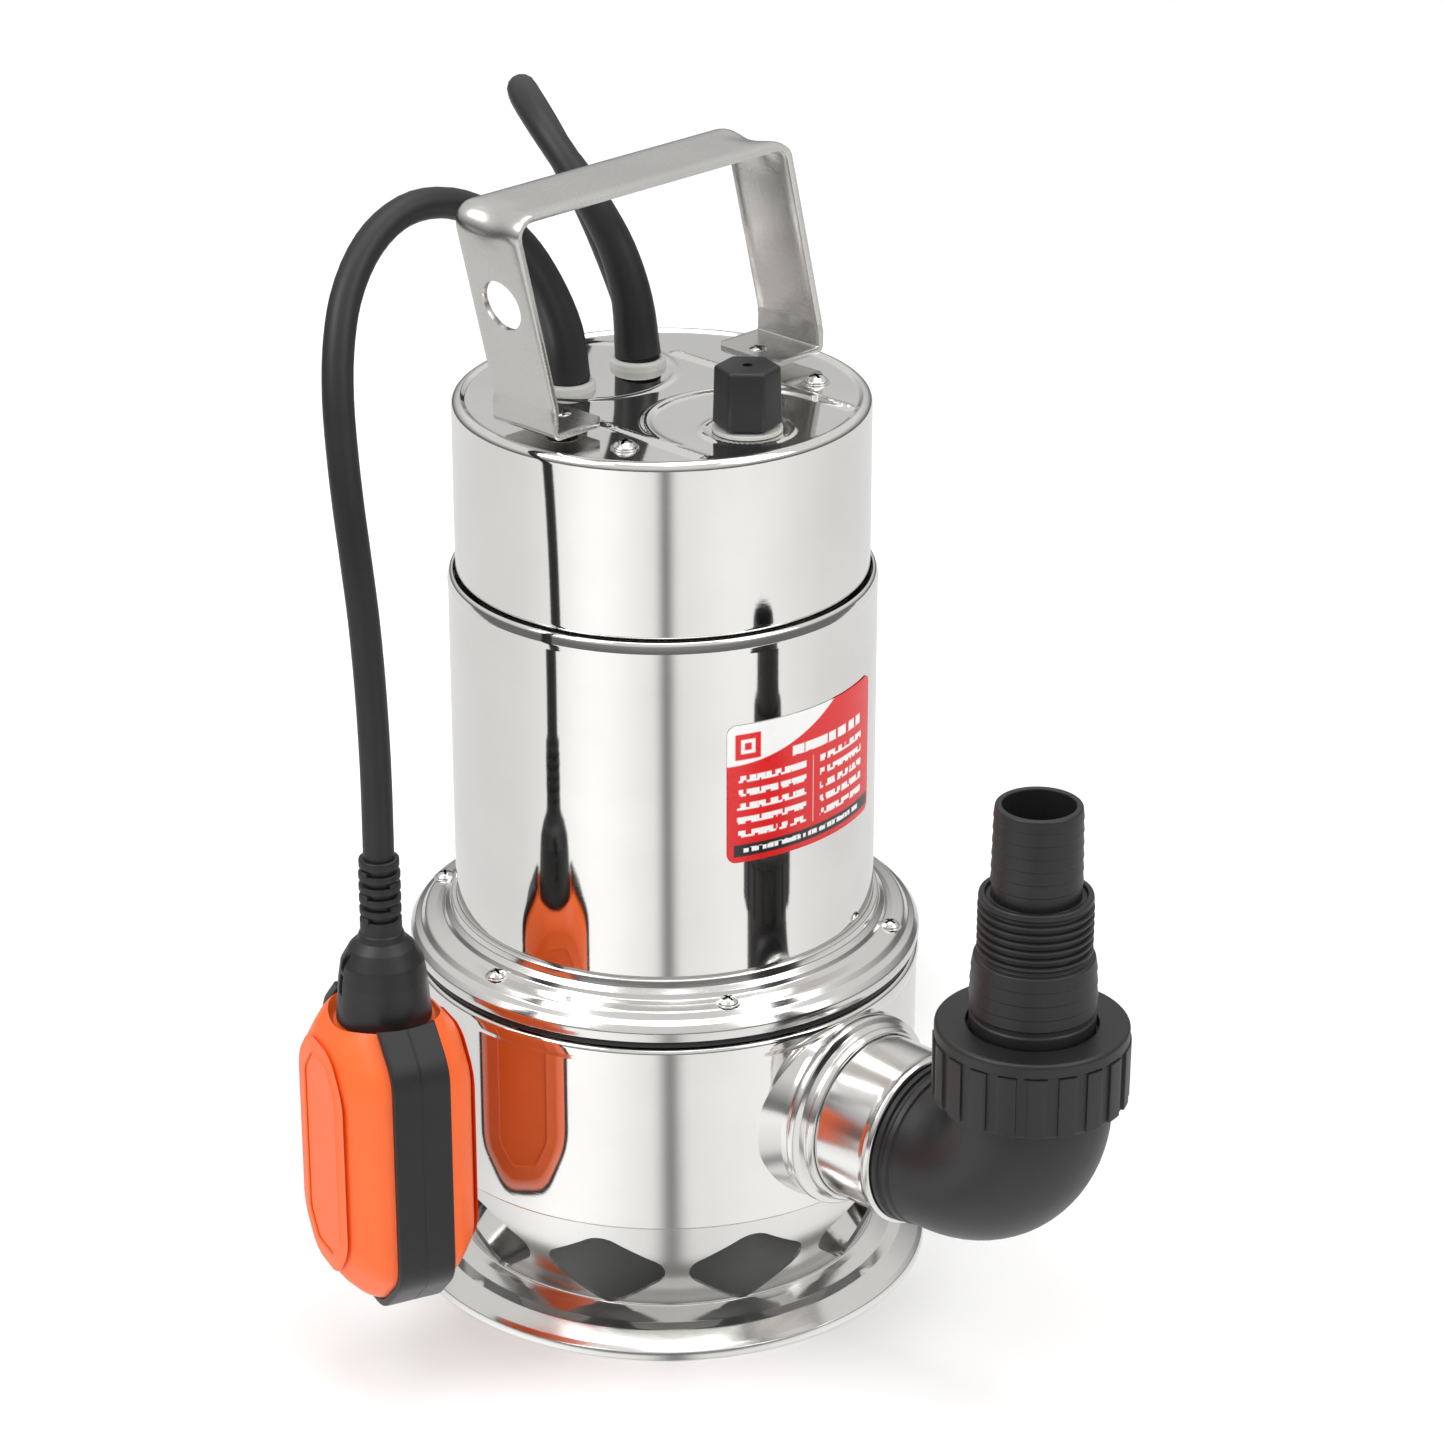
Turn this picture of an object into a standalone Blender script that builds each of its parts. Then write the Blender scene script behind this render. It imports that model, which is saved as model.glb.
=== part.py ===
"""Submersible sump pump with a float switch, a turned-up outlet elbow and a coiled power lead.

Frame: the origin is on the pump's axis at the bottom of the foot, +Z is up and +X points out of
the outlet. All sizes are in metres. Run with: blender --background --python part.py
"""
import math

import bmesh
import bpy
from mathutils import Matrix, Vector

# Driving dimensions ---------------------------------------------------------------------------
GAP = 0.0003                    # clearance left between touching pieces
SHEET = 0.0012                  # stainless sheet

COVER_R = 0.0610                # drawn motor cover, outer radius
COVER_TOP = 0.2761
SHELL_R = 0.06325               # motor shell, outer radius
SHELL_TOP = 0.2233
SHELL_BOTTOM = 0.1167
CASING_R = 0.0769               # pump casing, outer radius
CASING_TOP = 0.1019
CASING_BOTTOM = 0.0425
FLANGE_R = 0.0773
FLANGE_BOTTOM = 0.1048
FOOT_R = 0.0807                 # rolled rim of the strainer base

OUTLET_Z = 0.0716               # height of the outlet's axis
OUTLET_R = 0.0252               # stub, outer radius
OUTLET_BORE = 0.0243
OUTLET_END = 0.1075
COLUMN_X = 0.146                # vertical axis of the elbow's upper end
ELBOW_R = 0.0235
ELBOW_BORE = 0.0190
ELBOW_BEND = 0.028
ELBOW_TOP = 0.1170
NUT_R = 0.0273
NUT_BOTTOM = 0.1016
NUT_TOP = 0.1250
ADAPTER_TOP = 0.1920
ADAPTER_BORE = 0.0093

WINDOW_COUNT = 10               # strainer windows
WINDOW_WIDTH = 0.0420
WINDOW_HEIGHT = 0.0295
WINDOW_Z = 0.0240
WINDOW_TURN = math.radians(11.5)

FLANGE_SCREW_COUNT = 6
FLANGE_SCREW_RADIUS = 0.0700
FLANGE_SCREW_TURN = math.radians(30)

STRAP_WIDTH = 0.025             # handle
STRAP_THICKNESS = 0.0018
HANDLE_FOOT_Y = 0.055
HANDLE_TAB_END_Y = 0.0345
HANDLE_CREASE_Z = 0.2875
HANDLE_TOP_Z = 0.3455
HANDLE_LEAN = 0.0145            # both legs lean this far towards -Y
HANDLE_SCREW_Y = 0.040
LIFT_HOLE_R = 0.0074

COVER_SCREW_X = 0.0244
COVER_SCREW_Y = 0.0392
CAP_X, CAP_Y = 0.0385, -0.0044  # hexagonal vent cap
CAP_FLATS = 0.0175
CAP_HEIGHT = 0.0205
GLAND_X, GLAND_Y = -0.0244, 0.0145
GLAND_R = 0.0066                # hole in the gland ring

CABLE_R = 0.0045
RELIEF_R = 0.0060               # cable's tapered relief at the cover
RELIEF_SEGMENTS = 4             # whole segments of the cable's route inside the relief
CABLE_SPACING = 0.011

FLOAT_PIVOT = Vector((0.0, -0.114, 0.1425))
FLOAT_TURN = math.radians(-20)  # the float's width runs along this direction
FLOAT_WIDTH = 0.057
FLOAT_THICKNESS = 0.041
FLOAT_TOP = -0.0175             # heights from the pivot
FLOAT_BOTTOM = -0.1145
FLOAT_CORNER = 0.015
BAND_WIDTH = 0.0172
BAND_THICKNESS = 0.0016

COIL_RADIUS = 0.047             # middle of the turns
COIL_COLUMNS = 5
COIL_ROWS = 6
COIL_DISTANCE = 0.1545          # from the pump's axis to the coil's axis
COIL_AZIMUTH = math.radians(135)
PLUG_CENTRE = (0.006, 0.0915, 0.0186)   # across, back and up from the coil's axis

BODY_STEPS = 36
MID_STEPS = 20
SMALL_STEPS = 14
SCREW_STEPS = 8
SCREW_HOLE_R = 0.0022
DRILL_TURN = math.radians(7)    # keeps the holes' edges off the turned pieces' edges

# Free cords: hand-set routes in metres
FLOAT_CABLE_ROUTE = [
    (-0.0244, -0.0145, 0.2785), (-0.0246, -0.0161, 0.2933), (-0.0250, -0.0222, 0.3081),
    (-0.0262, -0.0305, 0.3216), (-0.0287, -0.0414, 0.3323), (-0.0304, -0.0530, 0.3380),
    (-0.0313, -0.0653, 0.3395), (-0.0310, -0.0766, 0.3368), (-0.0292, -0.0872, 0.3305),
    (-0.0260, -0.0965, 0.3207), (-0.0216, -0.1034, 0.3090), (-0.0175, -0.1077, 0.2966),
    (-0.0136, -0.1103, 0.2835), (-0.0095, -0.1124, 0.2700), (-0.0059, -0.1134, 0.2544),
    (-0.0030, -0.1138, 0.2374), (-0.0010, -0.1140, 0.2173), (0.0, -0.1140, 0.1934),
    (0.0, -0.1140, 0.1664),
]
POWER_CABLE_ROUTE = [
    (-0.0244, 0.0145, 0.2785), (-0.0268, 0.0147, 0.2946), (-0.0316, 0.0136, 0.3092),
    (-0.0393, 0.0118, 0.3217), (-0.0493, 0.0108, 0.3325), (-0.0615, 0.0127, 0.3408),
    (-0.0750, 0.0190, 0.3449), (-0.0888, 0.0300, 0.3437), (-0.1000, 0.0432, 0.3360),
    (-0.1066, 0.0563, 0.3235), (-0.1089, 0.0670, 0.3090), (-0.1078, 0.0752, 0.2938),
    (-0.1045, 0.0812, 0.2768), (-0.1000, 0.0860, 0.2570), (-0.0898, 0.0926, 0.2150),
    (-0.0785, 0.1011, 0.1800), (-0.0686, 0.1096, 0.1450), (-0.0630, 0.1148, 0.1120),
    (-0.0648, 0.1130, 0.0860), (-0.0735, 0.1042, 0.0672), (-0.0887, 0.0890, 0.0590),
]
TAIL_ROUTE = [                  # across, back and up from the coil's axis
    (-0.0650, 0.0380, 0.0048), (-0.0640, 0.0520, 0.0048), (-0.0590, 0.0660, 0.0060),
    (-0.0500, 0.0780, 0.0095), (-0.0395, 0.0868, 0.0145), (-0.0310, 0.0909, 0.0178),
    (-0.0250, 0.0915, 0.0186), (-0.0204, 0.0915, 0.0186),
]

# Colour, roughness and metallic value of each material
FINISHES = {
    "polished_steel": ((0.80, 0.79, 0.77), 0.12, 1.0),
    "brushed_strap": ((0.66, 0.65, 0.63), 0.28, 1.0),
    "zinc_screw": ((0.78, 0.78, 0.76), 0.22, 1.0),
    "black_plastic": ((0.016, 0.016, 0.018), 0.38, 0.0),
    "black_rubber": ((0.012, 0.012, 0.013), 0.62, 0.0),
    "grey_rubber": ((0.52, 0.52, 0.50), 0.55, 0.0),
    "orange_plastic": ((0.86, 0.17, 0.02), 0.42, 0.0),
    "motor_iron": ((0.22, 0.22, 0.24), 0.45, 1.0),
    "copper_wire": ((0.72, 0.32, 0.16), 0.35, 1.0),
    "cast_alloy": ((0.55, 0.56, 0.57), 0.42, 1.0),
    "shaft_steel": ((0.62, 0.62, 0.64), 0.20, 1.0),
    "brass_pin": ((0.78, 0.60, 0.30), 0.25, 1.0),
    "ivory_plastic": ((0.74, 0.72, 0.64), 0.40, 0.0),
}


# Building blocks ------------------------------------------------------------------------------
def clear_scene():
    for thing in list(bpy.data.objects):
        bpy.data.objects.remove(thing, do_unlink=True)


def new_collection(name):
    collection = bpy.data.collections.new(name)
    bpy.context.scene.collection.children.link(collection)
    return collection


clear_scene()
PARTS = new_collection("submersible_sump_pump")
CUTTERS = new_collection("cutters")


def material(name):
    found = bpy.data.materials.get(name)
    if found:
        return found
    colour, roughness, metallic = FINISHES[name]
    made = bpy.data.materials.new(name)
    made.use_nodes = True
    shader = made.node_tree.nodes["Principled BSDF"]
    shader.inputs["Base Color"].default_value = (*colour, 1.0)
    shader.inputs["Roughness"].default_value = roughness
    shader.inputs["Metallic"].default_value = metallic
    made.diffuse_color = (*colour, 1.0)
    return made


def axis_empty(name, location, rotation=(0.0, 0.0, 0.0), parent=None):
    empty = bpy.data.objects.new(name, None)
    empty.empty_display_size = 0.02
    empty.location = location
    empty.rotation_euler = rotation
    empty.parent = parent
    PARTS.objects.link(empty)
    return empty


def add_part(name, mesh, finish, at=(0.0, 0.0, 0.0), turn=(0.0, 0.0, 0.0), parent=None):
    part = bpy.data.objects.new(name, mesh)
    part.location = at
    part.rotation_euler = turn
    part.parent = parent
    mesh.materials.append(material(finish))
    PARTS.objects.link(part)
    return part


def mesh_from(bm, name, smooth=True):
    mesh = bpy.data.meshes.new(name)
    bm.to_mesh(mesh)
    bm.free()
    if smooth:
        mesh.shade_smooth()
        mesh.set_sharp_from_angle(angle=math.radians(30))
    return mesh


def spin_profile(thing, steps):
    screw = thing.modifiers.new("turn", "SCREW")
    screw.axis = "Z"
    screw.angle = math.tau
    screw.steps = steps
    screw.render_steps = steps
    screw.use_merge_vertices = True
    screw.merge_threshold = 0.00001
    screw.use_smooth_shade = True


def profile_mesh(name, profile, closed):
    """A chain of (radius, height) points, running down its outer side from the top."""
    mesh = bpy.data.meshes.new(name)
    edges = [(i, i + 1) for i in range(len(profile) - 1)]
    if closed:
        edges.append((len(profile) - 1, 0))
    mesh.from_pydata([(r, 0.0, z) for r, z in profile], edges, [])
    return mesh


def turned(name, profile, finish, steps=BODY_STEPS, at=(0.0, 0.0, 0.0), turn=(0.0, 0.0, 0.0),
           parent=None):
    """A turned solid; the profile is a ring's section unless it starts on the axis."""
    closed = profile[0][0] > 0.0
    part = add_part(name, profile_mesh(name, profile, closed), finish, at, turn, parent)
    spin_profile(part, steps)
    return part


def hide_cutter(cutter):
    CUTTERS.objects.link(cutter)
    cutter.display_type = "WIRE"
    cutter.hide_render = True
    return cutter


def subtract(part, cutter):
    cut = part.modifiers.new(cutter.name, "BOOLEAN")
    cut.operation = "DIFFERENCE"
    cut.solver = "EXACT"
    cut.object = cutter
    return part


def drill(part, holes, low, high, steps=SCREW_STEPS):
    """Round holes along Z through a part, in its own frame: (x, y, radius) for each."""
    bm = bmesh.new()
    for x, y, radius in holes:
        place = Matrix.Translation((x, y, (low + high) / 2)) @ Matrix.Rotation(DRILL_TURN, 4, "Z")
        bmesh.ops.create_cone(bm, cap_ends=True, segments=steps, radius1=radius, radius2=radius,
                              depth=high - low, matrix=place)
    cutter = hide_cutter(bpy.data.objects.new(part.name + "_drill", mesh_from(bm, "drill")))
    cutter.parent = part
    return subtract(part, cutter)


def block(name, size, finish, at, turn=(0.0, 0.0, 0.0), parent=None, bevel=0.0):
    bm = bmesh.new()
    bmesh.ops.create_cube(bm, size=1.0, matrix=Matrix.Diagonal((*size, 1.0)))
    part = add_part(name, mesh_from(bm, name, smooth=False), finish, at, turn, parent)
    if bevel:
        edge = part.modifiers.new("edges", "BEVEL")
        edge.width = bevel
        edge.segments = 2
    return part


def smooth_route(points, spacing):
    """Points about one spacing apart on a Catmull-Rom curve through the given ones."""
    route = [Vector(p) for p in points]
    padded = [2 * route[0] - route[1], *route, 2 * route[-1] - route[-2]]
    smooth = []
    for before, start, end, after in zip(padded, padded[1:], padded[2:], padded[3:]):
        steps = max(1, round((end - start).length / spacing))
        for k in range(steps):
            t = k / steps
            bend = (2 * before - 5 * start + 4 * end - after) * t * t
            twist = (3 * start - before - 3 * end + after) * t ** 3
            smooth.append(0.5 * (2 * start + (end - before) * t + bend + twist))
    return smooth + [route[-1]]


def split_route(route, index):
    """Both sides of a cut across the middle of one segment, a gap apart."""
    start, end = route[index], route[index + 1]
    middle = start.lerp(end, 0.5)
    restart = middle + (end - start).normalized() * GAP
    return [*route[:index + 1], middle], [restart, *route[index + 1:]]


def tube(name, route, finish, radii, place=None):
    """A capped tube along a route, with a radius at each point."""
    curve = bpy.data.curves.new(name, "CURVE")
    curve.dimensions = "3D"
    curve.bevel_depth = 1.0
    curve.bevel_resolution = 2
    curve.use_fill_caps = True
    spline = curve.splines.new("POLY")
    spline.points.add(len(route) - 1)
    for point, position, radius in zip(spline.points, route, radii):
        point.co = (*(place @ position if place else position), 1.0)
        point.radius = radius
    curve.materials.append(material(finish))
    part = bpy.data.objects.new(name, curve)
    PARTS.objects.link(part)
    return part


# Motor housing --------------------------------------------------------------------------------
def motor_cover():
    inner = COVER_R - SHEET
    profile = [
        (0.0, COVER_TOP), (COVER_R - 0.0040, COVER_TOP), (COVER_R - 0.0014, COVER_TOP - 0.0011),
        (COVER_R, COVER_TOP - 0.0036), (COVER_R, SHELL_TOP + 0.0012),
        (COVER_R - 0.0008, SHELL_TOP), (inner - 0.0008, SHELL_TOP), (inner, COVER_TOP - 0.0044),
        (inner - 0.0030, COVER_TOP - SHEET), (0.0, COVER_TOP - SHEET),
    ]
    cover = turned("motor_cover", profile, "polished_steel")
    holes = [(x, y, SCREW_HOLE_R) for x, y in screw_places()]
    holes += [(GLAND_X, side * GLAND_Y, 0.0079) for side in (-1, 1)]
    holes.append((CAP_X, CAP_Y, 0.0053))
    drill(cover, holes, COVER_TOP - 0.01, COVER_TOP + 0.01, SMALL_STEPS)


def screw_places():
    handle = [(0.0, -HANDLE_SCREW_Y), (0.0, HANDLE_SCREW_Y)]
    return handle + [(COVER_SCREW_X, -COVER_SCREW_Y), (COVER_SCREW_X, COVER_SCREW_Y)]


def motor_shell():
    neck = COVER_R + GAP
    profile = [
        (neck + 0.0006, SHELL_TOP + 0.0004), (SHELL_R - 0.0006, SHELL_TOP - 0.0008),
        (SHELL_R, SHELL_TOP - 0.0028), (SHELL_R, SHELL_BOTTOM),
        (SHELL_R - SHEET, SHELL_BOTTOM), (SHELL_R - SHEET, SHELL_TOP - 0.0030),
        (neck - 0.0014, SHELL_TOP - 0.0018), (neck - 0.0014, SHELL_TOP - 0.0008),
        (neck, SHELL_TOP - 0.0008),
    ]
    turned("motor_shell", profile, "polished_steel")
    seal = [
        (COVER_R - 0.0014, SHELL_TOP - 0.0032), (COVER_R - 0.0005, SHELL_TOP - 0.0040),
        (COVER_R - 0.0005, SHELL_TOP - 0.0056), (COVER_R - 0.0024, SHELL_TOP - 0.0056),
        (COVER_R - 0.0024, SHELL_TOP - 0.0032),
    ]
    turned("cover_seal", seal, "black_rubber")


def screw(name, at, head_radius=0.0034, head_height=0.0022, shank=0.008):
    profile = [
        (0.0, head_height), (head_radius * 0.62, head_height * 0.86),
        (head_radius, head_height * 0.36), (head_radius, 0.0), (0.0018, 0.0),
        (0.0018, -shank), (0.0, -shank - 0.001),
    ]
    turned(name, profile, "zinc_screw", SCREW_STEPS, at)


def carry_handle():
    """A strip bent into a handle: two tabs, two leaning legs and a flat top."""
    low = COVER_TOP + GAP
    outline = [
        (-HANDLE_TAB_END_Y, low), (-HANDLE_FOOT_Y, low), (-HANDLE_FOOT_Y, HANDLE_CREASE_Z),
        (-HANDLE_FOOT_Y - HANDLE_LEAN, HANDLE_TOP_Z), (HANDLE_FOOT_Y - HANDLE_LEAN, HANDLE_TOP_Z),
        (HANDLE_FOOT_Y, HANDLE_CREASE_Z), (HANDLE_FOOT_Y, low), (HANDLE_TAB_END_Y, low),
    ]
    bends = [0.0, 0.0028, 0.0, 0.0060, 0.0060, 0.0, 0.0028, 0.0]
    bm = bmesh.new()
    half = STRAP_WIDTH / 2
    chain = [bm.verts.new((-half, y, z)) for y, z in bent_chain(outline, bends)]
    edges = [bm.edges.new(pair) for pair in zip(chain, chain[1:])]
    sweep = bmesh.ops.extrude_edge_only(bm, edges=edges)["geom"]
    moved = [v for v in sweep if isinstance(v, bmesh.types.BMVert)]
    bmesh.ops.translate(bm, verts=moved, vec=(STRAP_WIDTH, 0.0, 0.0))
    for face in bm.faces:
        inward = Vector((0.0, 0.0, COVER_TOP + 0.03)) - face.calc_center_median()
        if face.normal.dot(Vector((0.0, inward.y, inward.z))) > 0:
            face.normal_flip()
    handle = add_part("carry_handle", mesh_from(bm, "carry_handle"), "brushed_strap")
    wall = handle.modifiers.new("sheet", "SOLIDIFY")
    wall.thickness = STRAP_THICKNESS
    wall.offset = -1.0
    wall.use_even_offset = True
    holes = [(x, y, SCREW_HOLE_R) for x, y in screw_places()[:2]]
    drill(handle, holes, COVER_TOP - 0.004, COVER_TOP + 0.008)
    bm = bmesh.new()
    across = Matrix.Translation((0.0, -HANDLE_FOOT_Y - 0.0089, 0.3170))
    across = across @ Matrix.Rotation(math.radians(90), 4, "X")
    bmesh.ops.create_cone(bm, cap_ends=True, segments=SMALL_STEPS, radius1=LIFT_HOLE_R,
                          radius2=LIFT_HOLE_R, depth=0.02, matrix=across)
    hole = hide_cutter(bpy.data.objects.new("lift_hole", mesh_from(bm, "lift_hole")))
    subtract(handle, hole)


def bent_chain(corners, radii, steps=4):
    """A chain of (y, z) points with each corner rounded to its radius."""
    points = []
    last = len(corners) - 1
    for i, (corner, radius) in enumerate(zip(corners, radii)):
        here = Vector(corner)
        if i in (0, last) or radius == 0.0:
            points.append(here)
            continue
        back = (Vector(corners[i - 1]) - here).normalized()
        on = (Vector(corners[i + 1]) - here).normalized()
        half_angle = back.angle(on) / 2
        trim = radius / math.tan(half_angle)
        centre = here + (back + on).normalized() * radius / math.sin(half_angle)
        start, end = here + back * trim - centre, here + on * trim - centre
        for k in range(steps + 1):
            points.append(centre + start.slerp(end, k / steps).normalized() * radius)
    return points


def vent_cap():
    pivot = axis_empty("vent_cap_axis", (CAP_X, CAP_Y, COVER_TOP))
    base = GAP + 0.0012
    across_corners = CAP_FLATS / math.cos(math.radians(30))
    bm = bmesh.new()
    place = Matrix.Translation((0.0, 0.0, base + CAP_HEIGHT / 2))
    place = place @ Matrix.Rotation(math.radians(12), 4, "Z")
    bmesh.ops.create_cone(bm, cap_ends=True, segments=6, radius1=across_corners / 2,
                          radius2=across_corners / 2, depth=CAP_HEIGHT, matrix=place)
    cap = add_part("vent_cap", mesh_from(bm, "vent_cap"), "black_plastic", parent=pivot)
    stem = profile_mesh("vent_cap_stem", [(0.0, base + 0.004), (0.0048, base + 0.004),
                                          (0.0048, -0.010), (0.0, -0.010)], closed=False)
    tool = hide_cutter(bpy.data.objects.new("vent_cap_stem", stem))
    tool.parent = pivot
    spin_profile(tool, SMALL_STEPS)
    join = cap.modifiers.new("stem", "BOOLEAN")
    join.operation = "UNION"
    join.object = tool
    drill(cap, [(0.0, 0.0, 0.0014)], base + CAP_HEIGHT - 0.012, base + CAP_HEIGHT + 0.01)
    washer = [(0.0098, GAP + 0.0009), (0.0098, GAP), (0.0056, GAP), (0.0056, GAP + 0.0009)]
    turned("vent_cap_washer", washer, "grey_rubber", SMALL_STEPS, (CAP_X, CAP_Y, COVER_TOP))


def glands_and_cables():
    ring = [
        (0.0070, 0.0022), (0.0090, 0.0016), (0.0095, 0.0008), (0.0095, GAP), (0.0076, GAP),
        (0.0076, -0.0030), (GLAND_R + GAP, -0.0030), (GLAND_R + GAP, 0.0022),
    ]
    for side, label, route in ((-1, "float", FLOAT_CABLE_ROUTE), (1, "power", POWER_CABLE_ROUTE)):
        at = (GLAND_X, side * GLAND_Y, COVER_TOP)
        turned("gland_ring_" + label, ring, "grey_rubber", SMALL_STEPS, at)
        relief, cable = split_route(smooth_route(route, CABLE_SPACING), RELIEF_SEGMENTS)
        relief[0].z = COVER_TOP - 0.0026
        steps = len(relief) - 1
        slope = (CABLE_R + 0.0004 - RELIEF_R) / steps
        tube("strain_relief_" + label, relief, "black_rubber",
             [RELIEF_R + slope * i for i in range(steps + 1)])
        tube(label + "_cable", cable, "black_rubber", [CABLE_R] * len(cable))


# Pump housing ---------------------------------------------------------------------------------
def flange_and_casing():
    inner = SHELL_R + GAP
    flange = [
        (inner + 0.0010, 0.1190), (0.0652, 0.1163), (0.0668, 0.1151), (0.0674, 0.1136),
        (0.0690, 0.1131), (0.0756, 0.1092), (FLANGE_R - 0.0003, 0.1076), (FLANGE_R, 0.1060),
        (FLANGE_R, FLANGE_BOTTOM), (FLANGE_R - 0.0014, FLANGE_BOTTOM), (0.0752, 0.1076),
        (0.0686, 0.1116), (inner, 0.1142), (inner, 0.1190),
    ]
    ring = turned("flange_ring", flange, "polished_steel")
    places = []
    for i in range(FLANGE_SCREW_COUNT):
        angle = FLANGE_SCREW_TURN + math.tau * i / FLANGE_SCREW_COUNT
        x, y = FLANGE_SCREW_RADIUS * math.cos(angle), FLANGE_SCREW_RADIUS * math.sin(angle)
        places.append((x, y, SCREW_HOLE_R))
        screw("flange_screw_%d" % (i + 1), (x, y, 0.1148), 0.0031, 0.0020, 0.0065)
    drill(ring, places, 0.100, 0.125)

    seal = [
        (0.0763, FLANGE_BOTTOM - 0.0006), (0.0763, CASING_TOP + 0.0004),
        (0.0722, CASING_TOP + 0.0004), (0.0722, FLANGE_BOTTOM - 0.0006),
    ]
    turned("casing_seal", seal, "black_rubber")

    casing = [
        (CASING_R - 0.0009, CASING_TOP), (CASING_R + 0.0004, CASING_TOP - 0.0010),
        (CASING_R, CASING_TOP - 0.0030), (CASING_R, CASING_BOTTOM),
        (0.0722, CASING_BOTTOM), (0.0722, CASING_BOTTOM + SHEET),
        (CASING_R - SHEET, CASING_BOTTOM + SHEET), (CASING_R - SHEET, CASING_TOP - SHEET),
        (0.0724, CASING_TOP - SHEET), (0.0724, CASING_TOP),
    ]
    shell = turned("pump_casing", casing, "polished_steel")
    bm = bmesh.new()
    along = Matrix.Translation((CASING_R, 0.0, OUTLET_Z)) @ Matrix.Rotation(math.pi / 2, 4, "Y")
    bmesh.ops.create_cone(bm, cap_ends=True, segments=MID_STEPS, radius1=OUTLET_R + GAP,
                          radius2=OUTLET_R + GAP, depth=0.03, matrix=along)
    subtract(shell, hide_cutter(bpy.data.objects.new("outlet_hole", mesh_from(bm, "outlet_hole"))))


def outlet():
    """A stub tube let into the casing, with a welded collar that follows the casing."""
    along = (0.0, math.pi / 2, 0.0)
    axis = (0.0, 0.0, OUTLET_Z)
    stub = [
        (OUTLET_R - 0.0003, OUTLET_END), (OUTLET_R + 0.0008, OUTLET_END - 0.0006),
        (OUTLET_R + 0.0008, OUTLET_END - 0.0022), (OUTLET_R, OUTLET_END - 0.0030),
        (OUTLET_R, 0.0715), (OUTLET_BORE, 0.0715), (OUTLET_BORE, OUTLET_END),
    ]
    turned("outlet_stub", stub, "polished_steel", MID_STEPS, axis, along)
    collar = [
        (OUTLET_R + 0.0012, 0.0845), (OUTLET_R + 0.0026, 0.0838), (OUTLET_R + 0.0028, 0.0800),
        (OUTLET_R + 0.0034, 0.0780), (OUTLET_R + 0.0036, 0.0650), (OUTLET_R + GAP, 0.0650),
        (OUTLET_R + GAP, 0.0845),
    ]
    ring = turned("outlet_collar", collar, "polished_steel", MID_STEPS, axis, along)
    drum = CASING_R + GAP
    seat = [(0.0, CASING_TOP + 0.02), (drum, CASING_TOP + 0.02), (drum, 0.02), (0.0, 0.02)]
    core = profile_mesh("collar_seat", seat, closed=False)
    tool = hide_cutter(bpy.data.objects.new("collar_seat", core))
    spin_profile(tool, BODY_STEPS)
    subtract(ring, tool)


def strainer_base():
    wall = [
        (0.0700, CASING_BOTTOM - GAP), (CASING_R - 0.0003, CASING_BOTTOM - GAP), (0.0643, 0.0094),
        (0.0669, 0.0081), (0.0702, 0.0066), (0.0735, 0.0063), (0.0794, 0.0033),
        (FOOT_R, 0.0018), (FOOT_R, 0.0004), (FOOT_R - 0.0006, 0.0), (FOOT_R - 0.0014, 0.0),
        (0.0790, 0.0019), (0.0731, 0.0049), (0.0698, 0.0052), (0.0664, 0.0068),
        (0.0630, 0.0087), (CASING_R - 0.0017, CASING_BOTTOM - GAP - SHEET),
        (0.0700, CASING_BOTTOM - GAP - SHEET),
    ]
    base = turned("strainer_base", wall, "polished_steel", BODY_STEPS)
    subtract(base, window_cutter())
    turned("base_plate", [(0.0, 0.0016), (0.0776, 0.0016), (0.0776, 0.0), (0.0, 0.0)],
           "polished_steel")
    suction = [
        (0.0719, CASING_BOTTOM + 0.0018), (0.0719, CASING_BOTTOM), (0.0205, CASING_BOTTOM),
        (0.0190, CASING_BOTTOM + 0.0008), (0.0190, CASING_BOTTOM + 0.0036),
        (0.0205, CASING_BOTTOM + 0.0036), (0.0205, CASING_BOTTOM + 0.0018),
    ]
    turned("suction_plate", suction, "cast_alloy", MID_STEPS)


def window_cutter():
    """Diamond windows with rounded corners, all in one cutter."""
    bm = bmesh.new()
    corner = 0.0052
    tips = [(WINDOW_WIDTH / 2, 0.0), (0.0, WINDOW_HEIGHT / 2), (-WINDOW_WIDTH / 2, 0.0),
            (0.0, -WINDOW_HEIGHT / 2)]
    closed = [((tips[-1][0] + tips[0][0]) / 2, (tips[-1][1] + tips[0][1]) / 2), *tips]
    closed.append(closed[0])
    outline = bent_chain(closed, [0.0, corner * 0.8, corner, corner * 0.8, corner, 0.0], 3)[:-1]
    lean = Matrix.Rotation(math.radians(21), 4, "Y")
    for i in range(WINDOW_COUNT):
        around = Matrix.Rotation(WINDOW_TURN + math.tau * i / WINDOW_COUNT, 4, "Z")
        place = around @ Matrix.Translation((0.0704, 0.0, WINDOW_Z)) @ lean
        ends = [[bm.verts.new(place @ Vector((depth, y, z))) for y, z in outline]
                for depth in (-0.008, 0.008)]
        bm.faces.new(ends[0])
        bm.faces.new(reversed(ends[1]))
        for k in range(len(outline)):
            on = (k + 1) % len(outline)
            bm.faces.new((ends[0][on], ends[0][k], ends[1][k], ends[1][on]))
    bmesh.ops.recalc_face_normals(bm, faces=bm.faces)
    return hide_cutter(bpy.data.objects.new("strainer_windows", mesh_from(bm, "windows", False)))


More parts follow.
